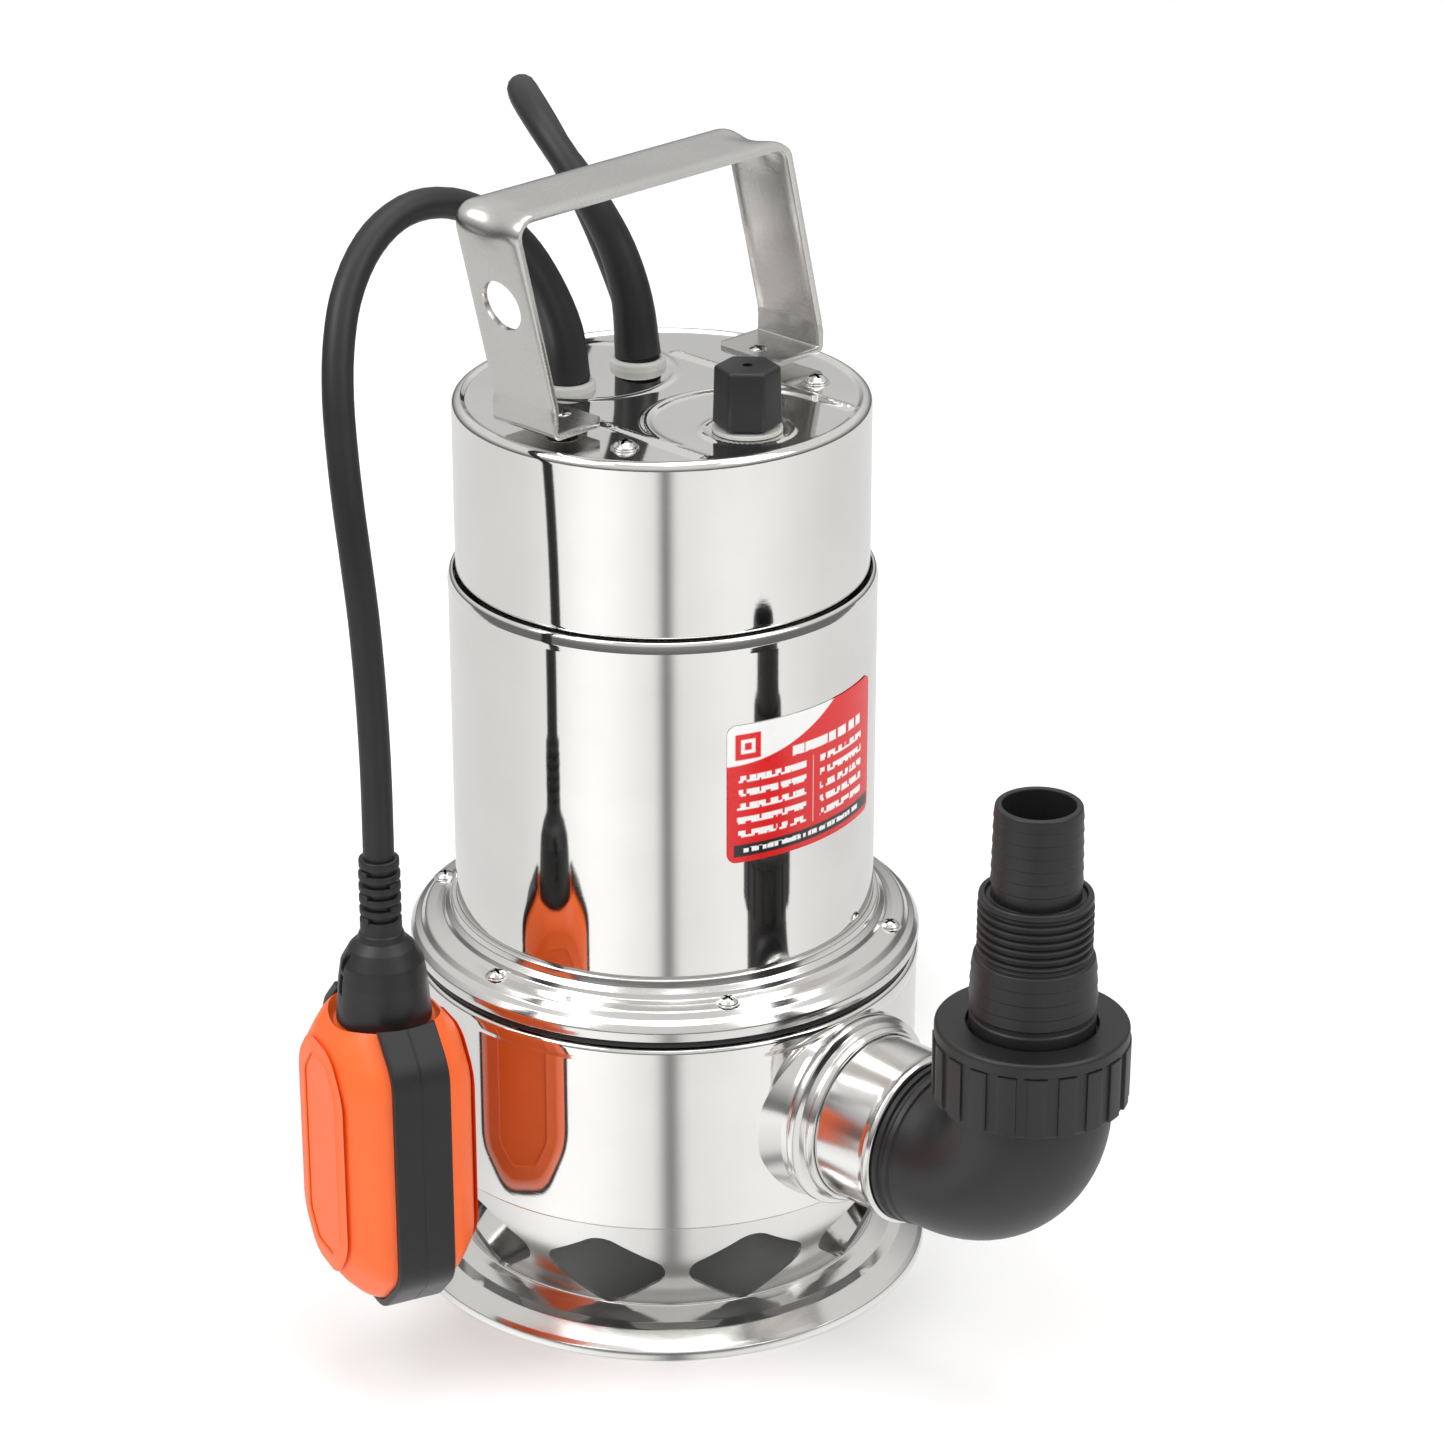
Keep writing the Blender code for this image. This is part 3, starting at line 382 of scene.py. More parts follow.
def rounded(corners, steps=5, support=0.0005, closed=False):
    """(u, v) or (u, v, radius) corners to a chain, with points near the ends of long straights."""
    count = len(corners)
    chain = []
    for i, corner in enumerate(corners):
        here, radius = Vector(corner[:2]), (corner[2] if len(corner) > 2 else 0.0)
        if radius <= 0.0 or (not closed and i in (0, count - 1)):
            chain.append(here)
            continue
        back = (Vector(corners[i - 1][:2]) - here).normalized()
        on = (Vector(corners[(i + 1) % count][:2]) - here).normalized()
        half = back.angle(on) / 2
        trim = radius / math.tan(half)
        centre = here + (back + on).normalized() * radius / math.sin(half)
        start, end = here + back * trim - centre, here + on * trim - centre
        chain += [centre + start.slerp(end, k / steps).normalized() * radius
                  for k in range(steps + 1)]
    held = []
    pairs = list(zip(chain, chain[1:] + chain[:1] if closed else chain[1:]))
    for here, there in pairs:
        held.append(here)
        if (there - here).length > 5 * support:
            step = (there - here).normalized() * support
            held += [here + step, there - step]
    return [tuple(p) for p in (held if closed else [*held, chain[-1]])]


def apply(piece, kind, **settings):
    """Adds a modifier with its settings and applies it."""
    only(piece)
    made = piece.modifiers.new(kind.lower(), kind)
    for key, value in settings.items():
        setattr(made, key, value)
    bpy.ops.object.modifier_apply(modifier=made.name)
    return piece


def soften(piece, width, segments=3, angle=30):
    return apply(piece, "BEVEL", width=width, segments=segments, limit_method="ANGLE",
                 angle_limit=math.radians(angle), use_clamp_overlap=True)


def cut(piece, cutter, operation="DIFFERENCE"):
    """Cuts with another object, or joins it on, and removes that object."""
    apply(piece, "BOOLEAN", operation=operation, solver="EXACT", object=cutter)
    bpy.data.objects.remove(cutter)
    return piece


def united(cutters):
    """Joins cutters into the first of them."""
    whole, *others = cutters
    for other in others:
        cut(whole, other, "UNION")
    return whole


def move(piece, matrix):
    """Sets a piece down in its place, with the place in its mesh."""
    only(piece)
    piece.matrix_world = matrix @ piece.matrix_world
    bpy.ops.object.transform_apply(location=True, rotation=True, scale=True)
    return piece


def copy_of(piece, name):
    only(piece)
    bpy.ops.object.duplicate(linked=False)
    twin = bpy.context.object
    twin.name = twin.data.name = name
    return twin


def fit(piece, body, slot, replaced=(), smooth=30, look=""):
    """Gives a finished piece its shading, its finish, its body and the nodes that it stands for."""
    only(piece)
    if piece.type == "MESH":
        bpy.ops.object.shade_smooth_by_angle(angle=math.radians(smooth))
    piece.data.materials.clear()
    piece.data.materials.append(finish(look or slot))
    if body:
        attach(piece, body)
    if replaced:
        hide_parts(*replaced)
    return piece


def pick(piece, wanted, kind="FACE"):
    """Selects faces, or vertices, by their place, and leaves edit mode on."""
    edit(piece)
    bpy.ops.mesh.select_mode(type=kind)
    bpy.ops.mesh.select_all(action="DESELECT")
    leave()
    for part in piece.data.polygons if kind == "FACE" else piece.data.vertices:
        part.select = wanted(part)
    bpy.ops.object.mode_set(mode="EDIT")


def turn_about(axis, angle):
    return Matrix.Rotation(angle, 4, axis)


def cylinder(name, radius, depth, centre, direction=UP, sides=MEDIUM):
    piece = primitive("cylinder", name, vertices=sides, radius=radius, depth=depth)
    turn = direction.to_track_quat("Z", "Y").to_matrix().to_4x4()
    return move(piece, Matrix.Translation(centre) @ turn)


def box(name, size, centre=(0.0, 0.0, 0.0)):
    piece = primitive("cube", name, centre, size=1.0, scale=size)
    bpy.ops.object.transform_apply(location=True, rotation=True, scale=True)
    return piece


# Stage: camera, floor and lights
CAMERA_PLACE = (0.8321, -0.8320, 0.6844)
CAMERA_TURN = (math.radians(66.472), 0.0, math.radians(44.15))
CAMERA_AZIMUTH = math.radians(-45)
FLOOR_SIZE = 9.0


def add_camera():
    data = bpy.data.cameras.new("camera")
    data.lens, data.sensor_width = 106.98, 36.0
    data.clip_start, data.clip_end = 0.01, 50.0
    camera = bpy.data.objects.new("camera", data)
    camera.location, camera.rotation_euler = CAMERA_PLACE, CAMERA_TURN
    bpy.context.scene.collection.objects.link(camera)
    bpy.context.scene.camera = camera


def area_light(name, place, aim_z, side, power):
    """A square light that looks at a point on the pump's axis."""
    data = bpy.data.lights.new(name, "AREA")
    data.shape, data.size, data.size_y, data.energy = "RECTANGLE", side, side, power
    light = bpy.data.objects.new(name, data)
    light.location = place
    aim = Vector((0.0, 0.0, aim_z)) - Vector(place)
    light.rotation_euler = aim.to_track_quat("-Z", "Y").to_euler()
    bpy.context.scene.collection.objects.link(light)


def stage_material(name, colour):
    made = Finish(name, Roughness=0.9)
    grain = made.noise(6.0)
    return made.set(Base_Color=made.mix(grain, shade(colour, 0.99), colour)).material


def glow_material(name, paint):
    """An even card that is seen only in reflections; paint gives its strength."""
    made = Finish(name, Roughness=1.0)
    made.tree.nodes.remove(made.shader)
    glow = made.tree.nodes.new("ShaderNodeEmission")
    join(made.tree, glow.inputs["Strength"], paint(made))
    target = made.tree.nodes["Material Output"]
    made.tree.links.new(glow.outputs[0], target.inputs["Surface"])
    return made.material


def floor_glow(made):
    """Bright left of the camera and fairly bright right of it, with one narrow dark gap between."""
    ahead, side, _ = made.axes(made.node("ShaderNodeMapping", Vector=made.place,
                                         Rotation=(0.0, 0.0, -CAMERA_AZIMUTH)))
    angle = side.maths("ARCTAN2", side, ahead) * (180.0 / math.pi)
    gap = angle.bump_at(1.5, 4.2) * 0.62
    return (0.80 + angle.bump_at(-34.0, 26.0) * 0.42 + angle.bump_at(42.0, 34.0) * 0.24) - gap


def ring_glow(made):
    """Dim near the floor and brighter upwards, which gives the pressed steps their dark lines."""
    height = made.axes()[2]
    return height.ramp(0.25, 0.75) * 0.44 + height.ramp(0.80, 1.10) * 0.20 + 0.16


def reflected_only(card, height, paint):
    """Makes a card that lights nothing and shows only in the steel."""
    move(card, Matrix.Translation((0.0, 0.0, height)))
    card.data.materials.append(glow_material(paint.__name__, paint))
    for flag in ("visible_camera", "visible_diffuse", "visible_shadow", "visible_transmission"):
        setattr(card, flag, False)


class PUMP_OT_stage(bpy.types.Operator):
    """Add the camera, the pale floor, the soft lights and the cards that the steel reflects"""
    bl_idname = "pump.stage"
    bl_label = "Stage"

    def execute(self, context):
        add_camera()
        scene = context.scene
        scene.view_settings.view_transform = "Standard"
        scene.view_settings.look = "None"
        world = bpy.data.worlds.new("studio")
        world.use_nodes = True
        back = world.node_tree.nodes["Background"]
        back.inputs["Color"].default_value = (1.0, 0.99, 0.98, 1.0)
        back.inputs["Strength"].default_value = 0.78
        scene.world = world
        floor = primitive("circle", "floor", vertices=MEDIUM, radius=FLOOR_SIZE, fill_type="NGON")
        move(floor, Matrix.Translation((0.0, 0.0, -0.0002)))
        floor.data.materials.append(stage_material("floor", (0.93, 0.93, 0.93)))
        reflected_only(primitive("grid", "floor_card", x_subdivisions=4, y_subdivisions=4,
                                 size=FLOOR_SIZE), -0.0001, floor_glow)
        reflected_only(primitive("cylinder", "ring_card", vertices=MEDIUM, radius=1.6, depth=1.1,
                                 end_fill_type="NOTHING"), 0.56, ring_glow)
        area_light("key", (-0.5, -1.5, 1.9), 0.15, 1.2, 20.0)
        area_light("fill", (1.6, 0.5, 1.6), 0.15, 1.2, 12.0)
        area_light("top", (0.0, 0.2, 2.2), 0.1, 1.6, 16.0)
        return {"FINISHED"}


# Cords
FLOAT_CABLE_ROUTE = [
    (-0.0244, -0.0145, 0.2785), (-0.0246, -0.0161, 0.2933), (-0.0250, -0.0222, 0.3081),
    (-0.0262, -0.0305, 0.3216), (-0.0287, -0.0414, 0.3323), (-0.0304, -0.0530, 0.3380),
    (-0.0313, -0.0653, 0.3395), (-0.0310, -0.0766, 0.3368), (-0.0292, -0.0872, 0.3305),
    (-0.0260, -0.0965, 0.3207), (-0.0216, -0.1034, 0.3090), (-0.0175, -0.1077, 0.2966),
    (-0.0136, -0.1103, 0.2835), (-0.0095, -0.1124, 0.2700), (-0.0059, -0.1134, 0.2544),
    (-0.0030, -0.1138, 0.2374), (-0.0010, -0.1140, 0.2173), (0.0, -0.1140, 0.1934),
    (0.0, -0.1140, 0.1664),
]
POWER_CABLE_ROUTE = [
    (-0.0244, 0.0145, 0.2785), (-0.0268, 0.0147, 0.2946), (-0.0316, 0.0136, 0.3092),
    (-0.0393, 0.0118, 0.3217), (-0.0493, 0.0108, 0.3325), (-0.0615, 0.0127, 0.3408),
    (-0.0750, 0.0190, 0.3449), (-0.0888, 0.0300, 0.3437), (-0.1000, 0.0432, 0.3360),
    (-0.1066, 0.0563, 0.3235), (-0.1089, 0.0670, 0.3090), (-0.1078, 0.0752, 0.2938),
    (-0.1045, 0.0812, 0.2768), (-0.1000, 0.0860, 0.2570), (-0.0898, 0.0926, 0.2150),
    (-0.0785, 0.1011, 0.1800), (-0.0686, 0.1096, 0.1450), (-0.0630, 0.1148, 0.1120),
    (-0.0648, 0.1130, 0.0860), (-0.0735, 0.1042, 0.0672), (-0.0887, 0.0890, 0.0590),
]
TAIL_ROUTE = [                  # across, back and up from the coil's axis
    (-0.0650, 0.0380, 0.0048), (-0.0640, 0.0520, 0.0048), (-0.0590, 0.0660, 0.0060),
    (-0.0500, 0.0780, 0.0095), (-0.0395, 0.0868, 0.0145), (-0.0310, 0.0909, 0.0178),
    (-0.0250, 0.0915, 0.0186), (-0.0204, 0.0915, 0.0186),
]
COIL_RADII = (0.029, 0.038, 0.047, 0.056, 0.065)
COIL_FLOOR, COIL_CEILING, COIL_ENTRY = 0.0046, 0.0496, 0.0590
TURN_POINTS = 32
ROUTE_SPACING = 0.004
SLEEVE_LENGTH, SLEEVE_FOOT = 0.062, 0.0021
PLUG_CENTRE = (0.006, 0.0915, 0.0186)


def coil_frame():
    """Across, back and up from the coil's axis, which stands on the floor behind the pump."""
    centre = Vector((math.cos(COIL_AZIMUTH), math.sin(COIL_AZIMUTH), 0.0)) * COIL_DISTANCE
    return Matrix.Translation(centre) @ turn_about("Z", COIL_AZIMUTH - math.pi / 2)


def coil_turns():
    """Columns of turns wound down, up, down, up and down, from the inside out."""
    turns = 6.0
    stations = [(COIL_RADII[0], COIL_ENTRY, 0.0), (COIL_RADII[0], COIL_FLOOR, turns)]
    for i, radius in enumerate(COIL_RADII[1:]):
        low, high = (COIL_FLOOR, COIL_CEILING) if i % 2 == 0 else (COIL_CEILING, COIL_FLOOR)
        stations += [(radius, low, turns + 1.0), (radius, high, turns + 6.0)]
        turns += 6.0
    stations.append((COIL_RADII[-1], COIL_FLOOR, turns + 0.25))
    points = []
    for (r0, z0, t0), (r1, z1, t1) in zip(stations, stations[1:]):
        steps = round((t1 - t0) * TURN_POINTS)
        for k in range(1, steps + 1):
            part = k / steps
            angle = -math.pi / 2 - math.tau * (t0 + (t1 - t0) * part)
            radius = r0 + (r1 - r0) * part
            points.append(Vector((radius * math.cos(angle), radius * math.sin(angle),
                                  z0 + (z1 - z0) * part)))
    return points


def smooth_route(points):
    """Evenly spaced points on a Catmull-Rom curve through the given ones."""
    route = [Vector(p) for p in points]
    padded = [2 * route[0] - route[1], *route, 2 * route[-1] - route[-2]]
    smooth = []
    for before, start, end, after in zip(padded, padded[1:], padded[2:], padded[3:]):
        steps = max(1, round((end - start).length / ROUTE_SPACING))
        for k in range(steps):
            t = k / steps
            bend = (2 * before - 5 * start + 4 * end - after) * t * t
            twist = (3 * start - before - 3 * end + after) * t ** 3
            smooth.append(0.5 * (2 * start + (end - before) * t + bend + twist))
    return smooth + [route[-1]]


def tube(name, route, radii, sides=6):
    """A round curve along a route, with a radius at each point."""
    curve = bpy.data.curves.new(name, "CURVE")
    curve.dimensions = "3D"
    curve.bevel_depth = max(radii)
    curve.bevel_resolution = sides
    curve.use_fill_caps = True
    spline = curve.splines.new("POLY")
    spline.points.add(len(route) - 1)
    for point, place, radius in zip(spline.points, route, radii):
        point.co = (*place, 1.0)
        point.radius = radius / max(radii)
    spline.use_smooth = True
    piece = bpy.data.objects.new(name, curve)
    bpy.context.scene.collection.objects.link(piece)
    return piece


def relief_sleeve(label, route):
    """A tapered sleeve on a cable where it leaves the cover."""
    along = 0.0
    path, radii = [], []
    for here, there in zip(route, route[1:]):
        if along > SLEEVE_LENGTH:
            break
        taper = (1.0 - along / SLEEVE_LENGTH) ** 1.4
        path.append(here)
        radii.append(CABLE_R + 0.00025 + SLEEVE_FOOT * taper)
        along += (there - here).length
    radii[-1] = CABLE_R + 0.0001
    sleeve = tube("cable_sleeve_" + label, path, radii, 8)
    return fit(sleeve, "pump", "black_rubber", ["strain_relief_" + label])


def coil_tie():
    """A hook-and-loop strap round the bundle of turns."""
    clear = 0.0011
    inner, outer = 0.0245 - clear, 0.0695 + clear
    low, high = 0.0001, 0.0541 + clear
    section = rounded([(inner, low, 0.003), (outer, low, 0.003), (outer, high, 0.006),
                       (inner, high, 0.006)], 5, closed=True)
    tie = draw_line("coil_tie", [(r, -0.007, z) for r, z in section], closed=True)
    draw_out((0.0, 0.014, 0.0))
    outward()
    leave()
    apply(tie, "SOLIDIFY", thickness=0.0009, offset=-1.0)
    soften(tie, 0.0002, 2)
    move(tie, coil_frame() @ turn_about("Z", math.radians(28)))
    return fit(tie, "pump", "black_rubber")


def plug():
    """A round moulded mains plug with a ribbed grip and two pins."""
    profile = rounded([
        (0.0, 0.0320), (0.0165, 0.0320, 0.0006), (0.0182, 0.0300, 0.0015), (0.0182, 0.0200, 0.0008),
        (0.0170, 0.0185, 0.0008), (0.0170, 0.0100, 0.002), (0.0150, 0.0015, 0.004),
        (0.0116, -0.0050, 0.004), (0.0078, -0.0100, 0.003), (0.0070, -0.0118),
        (0.0070, -0.0128), (0.0061, -0.0130), (0.0061, -0.0150), (0.0068, -0.0152),
        (0.0067, -0.0166), (0.0058, -0.0168), (0.0058, -0.0188), (0.0065, -0.0190),
        (0.0064, -0.0204), (0.0056, -0.0206), (0.0056, -0.0226), (0.0062, -0.0228),
        (0.0060, -0.0258, 0.0004), (0.0046, -0.0262), (0.0, -0.0262),
    ], 3)
    body = turned("mains_plug", profile, MEDIUM)
    cut(body, united([
        box("notch", (0.0012, 0.004, 0.010), (-0.0081 + 0.0018 * k, side * 0.0186, 0.0135))
        for k in range(10) for side in (-1, 1)]))
    seat = coil_frame() @ Matrix.Translation(PLUG_CENTRE) @ turn_about("Y", math.pi / 2)
    fit(move(body, seat), "pump", "black_rubber", ["plug_body"])
    pin = turned("plug_pin_left", rounded([(0.0, 0.0512), (0.0024, 0.0512, 0.0018),
                                           (0.0024, 0.0318), (0.0, 0.0318)], 5), SMALL)
    pins = [pin, copy_of(pin, "plug_pin_right")]
    for made, side, node in zip(pins, (-1, 1), ("plug_pin_a", "plug_pin_b")):
        move(made, seat @ Matrix.Translation((0.0, side * 0.0095, 0.0)))
        fit(made, "pump", "brass_pin", [node])
    return [body, *pins]


class PUMP_OT_cords(bpy.types.Operator):
    """Lay the float's cable and the mains lead with its coil, tie and plug"""
    bl_idname = "pump.cords"
    bl_label = "Cables, coil and plug"

    def execute(self, context):
        radius = sizes().cable / 2
        float_route = smooth_route(FLOAT_CABLE_ROUTE)
        power_route = smooth_route(POWER_CABLE_ROUTE)
        sleeves = [relief_sleeve("float", float_route), relief_sleeve("power", power_route)]
        lead = tube("float_lead", float_route, [radius] * len(float_route))
        fit(lead, "pump", "black_rubber", ["float_cable"])
        place = coil_frame()
        whole = power_route + [place @ p for p in coil_turns() + smooth_route(TAIL_ROUTE)]
        mains = tube("mains_lead", whole, [radius] * len(whole), 5)
        fit(mains, "pump", "black_rubber", ["power_cable", "cable_coil", "cable_tail"])
        pieces = [sleeves[1], coil_tie(), *plug()]
        return {"FINISHED"}


# Motor housing
BEAD_Y = 0.0296                 # straight beads on the cover
BEAD_START_X, BEAD_END_X = -0.0235, 0.0460
GLAND_ARC = ((-0.031, 0.0), 0.026)
CAP_ARC = ((0.0335, 0.0), 0.0282)
TOP_PITCH = 0.0008              # spacing of the rings across the cover's top


def bell(distance, half_width):
    """A smooth bead section: 1 on the line and 0 past its half width."""
    part = min(1.0, abs(distance) / half_width)
    return 0.5 + 0.5 * math.cos(math.pi * part)


def pressed_height(x, y):
    """Height of the beads pressed into the cover's top."""
    past = max(BEAD_START_X - x, x - BEAD_END_X, 0.0)
    straight = bell(math.hypot(abs(y) - BEAD_Y, past), 0.0020)
    (cx, cy), radius = GLAND_ARC
    inside = max(0.0, min(1.0, (0.0525 - math.hypot(x, y)) / 0.002))
    ring = 0.40 * inside * bell(math.hypot(x - cx, y - cy) - radius, 0.0018)
    (cx, cy), radius = CAP_ARC
    if x < cx:
        arc = bell(math.hypot(x - cx, y - cy) - radius, 0.0024)
    else:
        arc = bell(math.hypot(abs(y - cy) - radius, x - cx), 0.0024)
    seat = 0.5 * bell(math.hypot(x - CAP_X, y - CAP_Y) - 0.0128, 0.0012)
    return max(straight, ring, arc, seat)


def build_cover():
    flat = COVER_TOP - 0.0006
    rings = round((COVER_R - 0.0052) / TOP_PITCH)
    top = [(k * TOP_PITCH, flat) for k in range(rings)]
    edge = rounded([(COVER_R - 0.0056, flat), (COVER_R - 0.0040, flat, 0.001),
                    (COVER_R - 0.0026, COVER_TOP + 0.0003, 0.0012),
                    (COVER_R, COVER_TOP + 0.0003, 0.0024), (COVER_R, SHELL_TOP + 0.0016),
                    (COVER_R - 0.0002, SHELL_TOP + 0.0008), (COVER_R - 0.0010, SHELL_TOP),
                    (COVER_R - 0.0022, SHELL_TOP), (COVER_R - 0.0022, COVER_TOP - 0.004),
                    (0.0, COVER_TOP - 0.004)], 6)
    cover = turned("motor_cover_shell", top + edge, 264)
    reach = COVER_R - 0.0045
    height = sizes().bead
    for vertex in cover.data.vertices:
        x, y, z = vertex.co
        if z > COVER_TOP - 0.001 and math.hypot(x, y) < reach:
            vertex.co.z = z + height * pressed_height(x, y)
    fit(cover, "pump", "polished_steel", ["motor_cover"])


def build_shell():
    profile = rounded([
        (COVER_R + 0.0002, SHELL_TOP - 0.0030), (COVER_R + 0.0002, SHELL_TOP - 0.0004, 0.0004),
        (COVER_R + 0.0010, SHELL_TOP + 0.0003, 0.0006),
        (SHELL_R - 0.0004, SHELL_TOP - 0.0002, 0.0016),
        (SHELL_R + 0.0002, SHELL_TOP - 0.0030, 0.0012), (SHELL_R, SHELL_TOP - 0.0048, 0.0012),
        (SHELL_R, SHELL_BOTTOM), (SHELL_R - SHEET, SHELL_BOTTOM),
        (SHELL_R - SHEET, SHELL_TOP - 0.0040), (COVER_R + 0.0002, SHELL_TOP - 0.0040),
    ], 5, closed=True)
    fit(turned("motor_shell_sleeve", profile, closed=True), "pump", "polished_steel",
        ["motor_shell"])


class PUMP_OT_motor_housing(bpy.types.Operator):
    """Turn the motor's cover, with its pressed beads, and the sleeve under it"""
    bl_idname = "pump.motor_housing"
    bl_label = "Motor housing"

    def execute(self, context):
        build_cover()
        build_shell()
        return {"FINISHED"}


# Rating plate
PLATE_LOW, PLATE_HIGH = 0.1540, 0.1970
PLATE_FROM, PLATE_TO = math.radians(-28.6), math.radians(25.3)
PLATE_CORNER = 0.0028


def plate_finish():
    """Red enamel with a pale corner, a plain square emblem, rows of pale dashes and a dark foot."""
    made = Finish("rating_plate", IOR=1.5)
    x, y, z = made.axes()
    across = (x.maths("ARCTAN2", y, x) - PLATE_FROM) * SHELL_R
    up = z - PLATE_LOW
    wide = (PLATE_TO - PLATE_FROM) * SHELL_R
    tall = PLATE_HIGH - PLATE_LOW
    foot_line, line_pitch = 0.0068, 0.0043
    red, white, black = tuple(colours().plate), (0.88, 0.88, 0.87), (0.02, 0.02, 0.022)

    def band(value, low, high, soft=0.0002):
        return value.ramp(low - soft, low + soft) * value.ramp(high + soft, high - soft)

    wave = made.noise(5.0)
    field = made.mix(wave, shade(red, 0.92), shade(red, 1.06))
    swept = across * across * 16.0
    corner = (up - (tall - 0.0125) - swept * 0.55).ramp(-0.0002, 0.0002)
    field = made.mix(corner, field, white)
    for half, paint in ((0.0040, shade(red, 1.05)), (0.0022, white), (0.0011, shade(red, 1.05))):
        square = band(across, 0.0064 - half, 0.0064 + half)
        square = square * band(up, tall - 0.0068 - half, tall - 0.0068 + half)
        field = made.mix(square, field, paint)
    row = up.maths("FRACT", (up - foot_line) / line_pitch)
    dash = made.node("ShaderNodeCombineXYZ", X=across * 520.0,
                     Y=up.maths("FLOOR", up / line_pitch) * 7.3)

    def broken(scale, low):
        noise = made.node("ShaderNodeTexNoise", Vector=dash, Scale=scale, Detail=0.0)
        return noise.ramp(low, low + 0.04)

    columns = band(across, 0.0030, 0.0262) + band(across, 0.0318, wide - 0.0060)
    lines = columns * band(row, 0.26, 0.74, 0.04) * band(up, foot_line, tall - 0.0150)
    title = band(up, tall - 0.0130, tall - 0.0100) * band(across, 0.0210, wide - 0.0070)
    written = lines * broken(1.0, 0.40) + title * broken(0.8, 0.38)
    field = made.mix(up.maths("MINIMUM", written, 1.0), field, white)
    rule = band(across, 0.0288, 0.0291, 0.00008) * band(up, 0.0070, tall - 0.0150)
    field = made.mix(rule * 0.6, field, white)
    foot = band(up, 0.0018, 0.0056) * band(across, 0.0020, wide - 0.0010)
    field = made.mix(foot, field, black)
    note = band(up, 0.0030, 0.0045) * band(across, 0.0050, wide - 0.0080) * broken(1.2, 0.42)
    field = made.mix(note, field, white)
    skin = made.noise(90.0)
    made.set(Base_Color=field, Roughness=0.22 + skin * 0.14)
    return made.bump(skin, 0.00004, 0.3).material


class PUMP_OT_rating_plate(bpy.types.Operator):
    """Spin the rating plate on the sleeve and ease its corners"""
    bl_idname = "pump.rating_plate"
    bl_label = "Rating plate"

    def execute(self, context):
        rows, steps = 44, 72
        radius = SHELL_R + 0.00018
        line = [(radius * math.cos(PLATE_FROM), radius * math.sin(PLATE_FROM),
                 PLATE_LOW + (PLATE_HIGH - PLATE_LOW) * k / rows) for k in range(rows + 1)]
        plate = draw_line("rating_plate", line)
        bpy.ops.mesh.spin(steps=steps, angle=PLATE_FROM - PLATE_TO, center=(0.0, 0.0, 0.0),
                          axis=(0.0, 0.0, 1.0))
        select_all()
        bpy.ops.mesh.remove_doubles(threshold=MERGE)
        leave()
        middle = (PLATE_FROM + PLATE_TO) / 2
        half_wide = (PLATE_TO - PLATE_FROM) / 2 * SHELL_R - PLATE_CORNER
        mid_z = (PLATE_LOW + PLATE_HIGH) / 2
        half_tall = (PLATE_HIGH - PLATE_LOW) / 2 - PLATE_CORNER
        for vertex in plate.data.vertices:
            x, y, z = vertex.co
            across, up = (math.atan2(y, x) - middle) * SHELL_R, z - mid_z
            past_across, past_up = abs(across) - half_wide, abs(up) - half_tall
            if past_across > 0.0 and past_up > 0.0:
                pull = max(past_across, past_up) / math.hypot(past_across, past_up)
                across = math.copysign(half_wide + past_across * pull, across)
                up = math.copysign(half_tall + past_up * pull, up)
                angle = middle + across / SHELL_R
                vertex.co = (radius * math.cos(angle), radius * math.sin(angle), mid_z + up)
        apply(plate, "SOLIDIFY", thickness=0.00014, offset=-1.0)
        facing_out(plate)
        fit(plate, "pump", "polished_steel")
        plate.data.materials[0] = plate_finish()
        return {"FINISHED"}


# Handle
STRAP_WIDTH = 0.025
HANDLE_FOOT_Y, HANDLE_TAB_END_Y = 0.055, 0.0345
HANDLE_CREASE_Z, HANDLE_TOP_Z, HANDLE_LEAN = 0.2875, 0.3455, 0.0145
LIFT_HOLE_R, LIFT_HOLE_Z = 0.0074, 0.3170
STRAP_COLUMNS = 16


def strap_line():
    """The strip's outer side from one tab's end to the other's, as (y, z)."""
    low = COVER_TOP + GAP + sizes().strap
    corners = [
        (-HANDLE_TAB_END_Y, low), (-HANDLE_FOOT_Y, low, 0.0024),
        (-HANDLE_FOOT_Y, HANDLE_CREASE_Z, 0.004),
        (-HANDLE_FOOT_Y - HANDLE_LEAN, HANDLE_TOP_Z, 0.0062),
        (HANDLE_FOOT_Y - HANDLE_LEAN, HANDLE_TOP_Z, 0.0062),
        (HANDLE_FOOT_Y, HANDLE_CREASE_Z, 0.004), (HANDLE_FOOT_Y, low, 0.0024),
        (HANDLE_TAB_END_Y, low),
    ]
    chain = rounded(corners, 6)
    filled = []
    for here, there in zip(chain, chain[1:]):
        here, there = Vector(here), Vector(there)
        steps = max(1, math.ceil((there - here).length / 0.0022))
        filled += [here.lerp(there, k / steps) for k in range(steps)]
    return filled + [Vector(chain[-1])]


